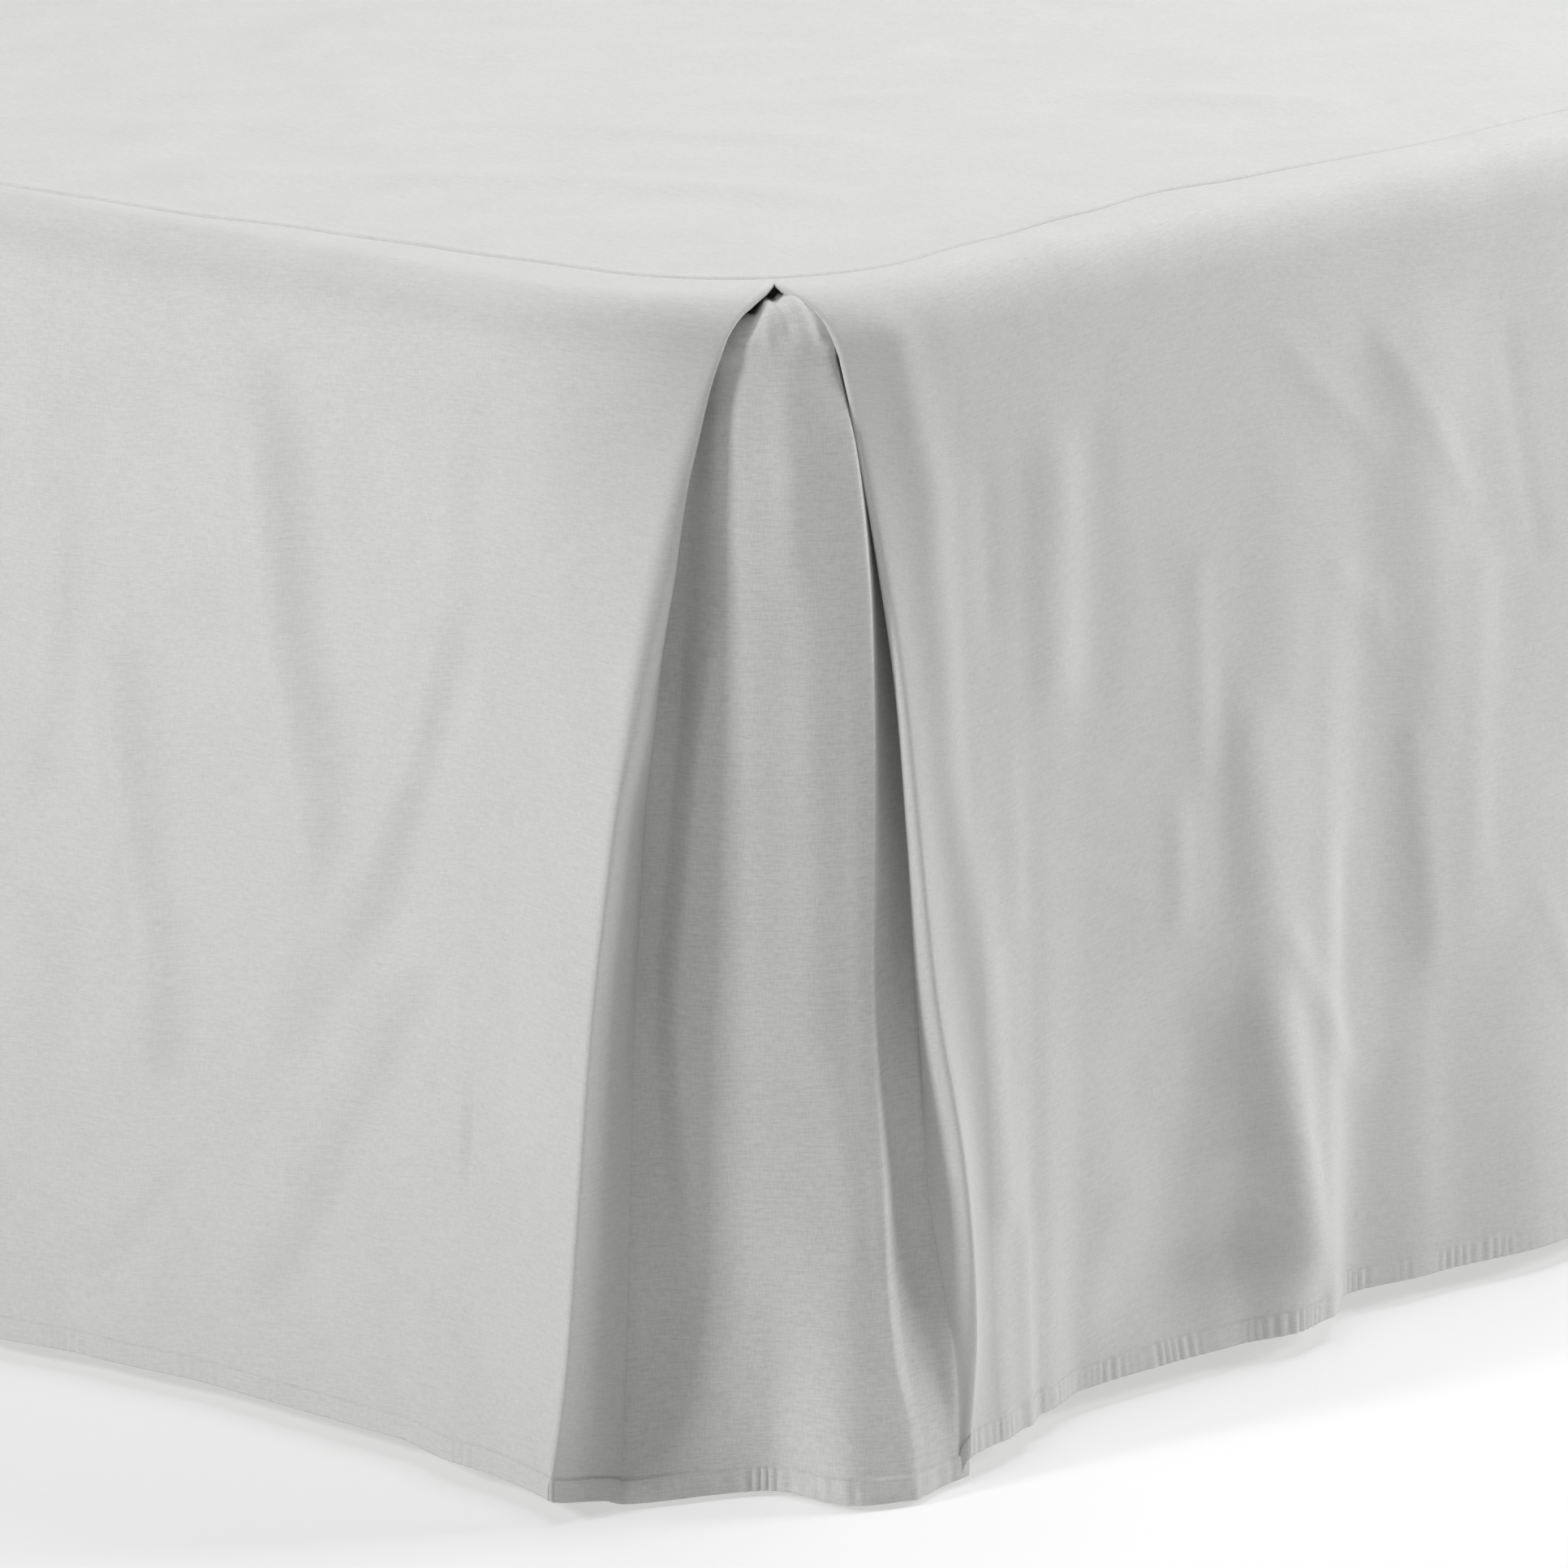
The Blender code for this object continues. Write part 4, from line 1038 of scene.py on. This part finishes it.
def cord(name, path, radius):
    """A round closed cord along a path."""
    curve = bpy.data.curves.new(name, "CURVE")
    curve.dimensions = "3D"
    curve.bevel_depth = radius
    curve.bevel_resolution = 2
    line = curve.splines.new("POLY")
    line.points.add(len(path) - 1)
    for point, spot in zip(line.points, path):
        point.co = (*spot, 1.0)
    line.use_cyclic_u = True
    return shown(name, curve)


base_cover = base_piece()
base_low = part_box("bed_base")[0]
piping = cord(
    "base_piping", [(x, y, base_low.z + PIPING_RADIUS) for x, y in base_outline(PIPING_RADIUS + 0.0006)],
    PIPING_RADIUS)
print("base:", len(base_cover.data.polygons), "faces")

# %% [markdown]
# The six legs are plain turned posts: a steel plate under the base, a beech
# post with softened ends, and a slightly narrower foot on the floor. Each is a
# profile turned round its axis.

# %% Legs
LEG_PROFILE = (            # part of the radius, height from the floor
    (0.0, 0.0), (0.86, 0.0), (0.92, 0.0008), (0.92, 0.0040), (0.86, 0.0042), (0.86, 0.0046),
    (0.93, 0.0050), (1.0, 0.0075), (1.0, 0.1780), (0.96, 0.1815), (0.94, 0.1825))
PLATE_PROFILE = ((0.94, 0.1826), (1.0, 0.1828), (1.0, 0.1850), (0.98, 0.1855), (0.0, 0.1855))
LEG_SIDES = 48


def turned(name, profile, node, top):
    """A profile turned round the axis of a leg."""
    low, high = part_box(node)
    middle, radius = (low + high) / 2, (high.x - low.x) / 2
    bm = bmesh.new()
    rings = []
    for part, height in profile:
        height *= top / PLATE_PROFILE[-1][1]
        rings.append([])
        for side in range(LEG_SIDES if part else 1):
            turn = 4 * QUARTER * side / LEG_SIDES
            rings[-1].append(bm.verts.new((middle.x + radius * part * math.cos(turn),
                                           middle.y + radius * part * math.sin(turn), low.z + height)))
    for lower, upper in zip(rings, rings[1:]):
        for side in range(LEG_SIDES):
            if len(lower) == 1:
                bm.faces.new((lower[0], upper[side], upper[side - 1]))
            elif len(upper) == 1:
                bm.faces.new((lower[side - 1], lower[side], upper[0]))
            else:
                bm.faces.new((lower[side - 1], lower[side], upper[side], upper[side - 1]))
    return finished(name, bm, 40)


posts, plates = [], []
for corner in [f"{side}_{place}" for side in ("right", "left") for place in ("foot", "middle", "head")]:
    node = f"leg_{corner}"
    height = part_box(node)[1].z
    posts.append(turned(f"post_{corner}", LEG_PROFILE, node, height))
    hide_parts(node)
    plates.append(turned(f"plate_{corner}", PLATE_PROFILE, node, height))
    for piece in (posts[-1], plates[-1]):
        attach(piece, "root")
print(len(posts), "posts and", len(plates), "plates")

# %% [markdown]
# A finish is a small net of shader nodes. Wrapping a socket in a class lets us
# write its sums as Python: `1 - mask` adds a Math node by itself.

# %% Sums with sockets
class Wire:
    """An output socket that can be used in Python sums."""

    def __init__(self, tree, socket):
        self.tree, self.socket = tree, socket

    def node(self, kind, settings=(), inputs=(), output=0):
        """Adds a node: its settings first, then the values or links of its sockets."""
        made = self.tree.nodes.new(kind)
        for name, value in dict(settings).items():
            setattr(made, name, value)
        for name, value in dict(inputs).items():
            if isinstance(value, Wire):
                self.tree.links.new(value.socket, made.inputs[name])
            else:
                made.inputs[name].default_value = value
        return Wire(self.tree, made.outputs[output])

    def sum(self, operation, first, second=0.0):
        return self.node("ShaderNodeMath", {"operation": operation}, {0: first, 1: second})

    def __add__(self, other):
        return self.sum("ADD", self, other)

    def __sub__(self, other):
        return self.sum("SUBTRACT", self, other)

    def __rsub__(self, other):
        return self.sum("SUBTRACT", other, self)

    def __mul__(self, other):
        return self.sum("MULTIPLY", self, other)

    __radd__, __rmul__ = __add__, __mul__


def start_finish(name, roughness):
    """A new material, its shader, and a wire to start its sums from."""
    made = bpy.data.materials.new(name)
    made.use_nodes = True
    tree = made.node_tree
    shader = tree.nodes["Principled BSDF"]
    shader.inputs["Roughness"].default_value = roughness
    return made, shader, Wire(tree, None)


def grained(wire, coordinates, width, height, detail=2.0):
    """Noise drawn out into threads, whose grains have a width and a height in metres."""
    placed = wire.node("ShaderNodeMapping", {}, {
        "Vector": coordinates, "Scale": (1 / width, 1 / height, 1.0)})
    return wire.node("ShaderNodeTexNoise", {"noise_dimensions": "2D"}, {
        "Vector": placed, "Scale": 1.0, "Detail": detail, "Roughness": 0.55})


def link(wire, shader, name):
    wire.tree.links.new(wire.socket, shader.inputs[name])


def surfaced(wire, shader, mask, colour, shade, relief, strength, distance):
    """Colour from one tone to another by a mask, and a fine relief."""
    link(wire.node("ShaderNodeMix", {"data_type": "RGBA"}, {
        "Factor": mask, "A": (*colour, 1.0), "B": (*shade, 1.0)}, output="Result"), shader, "Base Color")
    link(wire.node("ShaderNodeBump", {}, {
        "Height": relief, "Strength": strength, "Distance": distance}), shader, "Normal")


# %% [markdown]
# The skirt is plain-woven washed cotton and linen. Its threads differ a
# little in thickness and shade, so the colour is heathered: fine dashes down
# the warp and across the weft, and a soft cloudiness over both. The threads
# follow the flat cloth's own places, so they turn with it over the edge.

# %% The woven cloth
LINEN_COLOUR = (0.655, 0.660, 0.648)
LINEN_SHADE = (0.520, 0.525, 0.512)
SHADE_SHARE = 0.28         # of the shade in even cloth
THREAD_RELIEF = 0.0003
GRAIN_RELIEF = 0.0004      # of the plain finishes


def linen(name, shade=0.0, strength=1.0):
    made, shader, wire = start_finish(name, 0.88)
    flat = wire.node("ShaderNodeUVMap", {"uv_map": "threads"})
    warp = grained(wire, flat, 0.0007, 0.0040)
    weft = grained(wire, flat, 0.0045, 0.0007)
    slubs = grained(wire, flat, 0.0180, 0.0013, 3.0)
    cloud = grained(wire, flat, 0.045, 0.060, 3.0)
    heather = (warp - 0.5) * 0.7 + (weft - 0.5) * 0.9 + (slubs - 0.5) * 0.6 + (cloud - 0.5) * 0.35
    mask = wire.node("ShaderNodeMapRange", {"clamp": True}, {
        "Value": heather * strength + (SHADE_SHARE + shade),
        "From Min": 0.0, "From Max": 1.0, "To Min": 0.0, "To Max": 1.0})
    surfaced(wire, shader, mask, LINEN_COLOUR, LINEN_SHADE, warp * 0.5 + weft * 0.5, 0.35, THREAD_RELIEF)
    shader.inputs["Sheen Weight"].default_value = 0.12
    shader.inputs["Sheen Roughness"].default_value = 0.5
    shader.inputs["Specular IOR Level"].default_value = 0.25
    return made


panel_linen = linen("panel linen")
deck_linen = linen("deck linen")
# The insert's linen carries painted shade: a little darker than the panels', for the shade in the pleat's
# recess, and with a stronger heather.
shaded_pleat_linen = linen("pleat linen with painted shade", 0.05, 1.4)
print("linen:", panel_linen.name, deck_linen.name, shaded_pleat_linen.name)

# %% [markdown]
# Thread, base cloth, wood and steel need less: two close tones in noise that is
# drawn out along the piece, and a little relief from the same noise.

# %% Thread, base cloth, wood and steel
def plain_finish(name, colour, shade, roughness, across, along, bump=0.2, metallic=0.0):
    """A finish with two tones in drawn-out noise, by place in the object."""
    made, shader, wire = start_finish(name, roughness)
    shader.inputs["Metallic"].default_value = metallic
    place = wire.node("ShaderNodeTexCoord", output="Object")
    grain = wire.node("ShaderNodeTexNoise", {}, {
        "Vector": wire.node("ShaderNodeMapping", {}, {"Vector": place, "Scale": (across, across, along)}),
        "Scale": 1.0, "Detail": 4.0, "Roughness": 0.6})
    surfaced(wire, shader, grain, colour, shade, grain, bump, GRAIN_RELIEF)
    return made


thread_finish = plain_finish("sewing thread", (0.60, 0.605, 0.595), (0.50, 0.505, 0.495), 0.7, 900, 900)
base_cloth = plain_finish("base cloth", (0.50, 0.49, 0.47), (0.36, 0.35, 0.335), 0.92, 700, 700, 0.5)
piping_cloth = plain_finish("piping cloth", (0.42, 0.41, 0.39), (0.30, 0.29, 0.275), 0.9, 900, 900, 0.4)
beech = plain_finish("beech post", (0.52, 0.34, 0.19), (0.36, 0.21, 0.105), 0.45, 150, 12, 0.15)
steel = plain_finish("steel plate", (0.45, 0.45, 0.46), (0.32, 0.32, 0.33), 0.38, 260, 260, 0.1, 1.0)
print("plain finishes:", thread_finish.name, base_cloth.name, piping_cloth.name, beech.name, steel.name)

# %% [markdown]
# Now each piece gets its finish and the body it moves with, and the solid it
# stands in for is hidden.

# %% Dress the pieces
for piece, finish, slot, node in (
        (foot_panel, panel_linen, "skirt_cloth", "skirt_foot"),
        (panel_right, panel_linen, "skirt_cloth", "skirt_side_right"),
        (panel_left, panel_linen, "skirt_cloth", "skirt_side_left"),
        (insert_right, shaded_pleat_linen, "skirt_cloth", "pleat_insert_right"),
        (insert_left, shaded_pleat_linen, "skirt_cloth", "pleat_insert_left"),
        (deck_cloth, deck_linen, "deck_cloth", "deck"),
        (base_cover, base_cloth, "base_cloth", "bed_base")):
    piece.data.materials.append(finish)
    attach(piece, "root")
    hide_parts(node)
for piece in hem_threads:
    piece.data.materials.append(thread_finish)
    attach(piece, "root")
piping.data.materials.append(piping_cloth)
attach(piping, "root")
for post, plate in zip(posts, plates):
    post.data.materials.append(beech)
    plate.data.materials.append(steel)

# %% [markdown]

# %% [markdown]
# The studio is pale all round. A smaller light from the front left shows the
# folds and drops a shadow into the pleat, one from behind on the right opens
# the right side, and two above make the deck the brightest face. The last
# keeps the back from going dark. The floor glows a little, as a lit one does.

# %% Studio
LIGHTS = (                 # name, azimuth, elevation, size, power
    ("front left", -15, 25, 0.45, 57.0),
    ("back right", 150, 20, 1.0, 61.0),
    ("above the foot", 0, 68, 1.6, 24.0),
    ("above the head", 180, 60, 1.6, 53.0),
    ("back left", 240, 45, 1.6, 20.0))
LIT_CORNER = Vector((0.75, -0.93, 0.30))  # the spot that the lights face
LIGHT_REACH = 3.4          # from that spot to each light
ROOM_GLOW = 0.03
FLOOR_GLOW = 0.50          # share of its own light in the floor
FLOOR_SIZE = 60.0


def away(azimuth, elevation):
    """A direction from the corner, in degrees round from the foot end and up."""
    azimuth, elevation = math.radians(azimuth), math.radians(elevation)
    return Vector((math.sin(azimuth) * math.cos(elevation), -math.cos(azimuth) * math.cos(elevation),
                   math.sin(elevation)))


def aimed(made, place, target):
    made.location = place
    made.rotation_mode = "QUATERNION"
    made.rotation_quaternion = (Vector(target) - Vector(place)).to_track_quat("-Z", "Y")
    return made


for name, azimuth, elevation, size, power in LIGHTS:
    light = bpy.data.lights.new(name, "AREA")
    light.shape, light.size, light.energy = "SQUARE", size, power
    aimed(shown(name, light), LIT_CORNER + LIGHT_REACH * away(azimuth, elevation), LIT_CORNER)

world = bpy.data.worlds.new("pale room")
world.use_nodes = True
world.node_tree.nodes["Background"].inputs["Color"].default_value = (0.96, 0.98, 1.0, 1.0)
world.node_tree.nodes["Background"].inputs["Strength"].default_value = ROOM_GLOW
bpy.context.scene.world = world
bpy.context.scene.view_settings.view_transform = "Standard"

bm = bmesh.new()
bmesh.ops.create_grid(bm, x_segments=4, y_segments=4, size=FLOOR_SIZE)
floor_mesh = bpy.data.meshes.new("floor")
bm.to_mesh(floor_mesh)
bm.free()
floor = shown("floor", floor_mesh)
floor_finish = bpy.data.materials.new("floor")
floor_finish.use_nodes = True
nodes = floor_finish.node_tree.nodes
paint = nodes["Principled BSDF"]
paint.inputs["Base Color"].default_value = (0.94, 0.94, 0.94, 1.0)
paint.inputs["Roughness"].default_value = 1.0
paint.inputs["Specular IOR Level"].default_value = 0.0
glow = nodes.new("ShaderNodeEmission")
glow.inputs["Strength"].default_value = 1.0
share = nodes.new("ShaderNodeMixShader")
share.inputs["Fac"].default_value = FLOOR_GLOW
floor_finish.node_tree.links.new(paint.outputs[0], share.inputs[1])
floor_finish.node_tree.links.new(glow.outputs[0], share.inputs[2])
floor_finish.node_tree.links.new(share.outputs[0], nodes["Material Output"].inputs["Surface"])
floor_mesh.materials.append(floor_finish)
floor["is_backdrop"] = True
print(len(LIGHTS), "lights over a pale floor")

# %% [markdown]
# A long lens from one corner, a little above the deck, flattens the picture
# the way a catalogue does.

# %% Camera
CAMERA_ROUND, CAMERA_UP = 41.5, 13.7  # in degrees, as seen from the corner
lens = bpy.data.cameras.new("camera")
lens.sensor_width, lens.lens = 36.0, 260.87
lens.clip_start, lens.clip_end = 0.05, 200.0
camera_place = Vector((3.929, -4.494 + HEAD_SHIFT, 1.477))
camera = aimed(shown("camera", lens), camera_place, camera_place - away(CAMERA_ROUND, CAMERA_UP))
bpy.context.scene.camera = camera
print(f"lens of {lens.lens:.0f} mm")

# %% [markdown]
# Last, the box round what is drawn is printed beside the box of the imported
# solids. Cloth and finishes should stay within a few millimetres of them.

# %% Finish
drawn_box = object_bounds()
for word, box in (("solid", solid_box), ("drawn", drawn_box)):
    print(word, "box in mm:", [round(value * 1000, 1) for value in (*box[0], *box[1])])
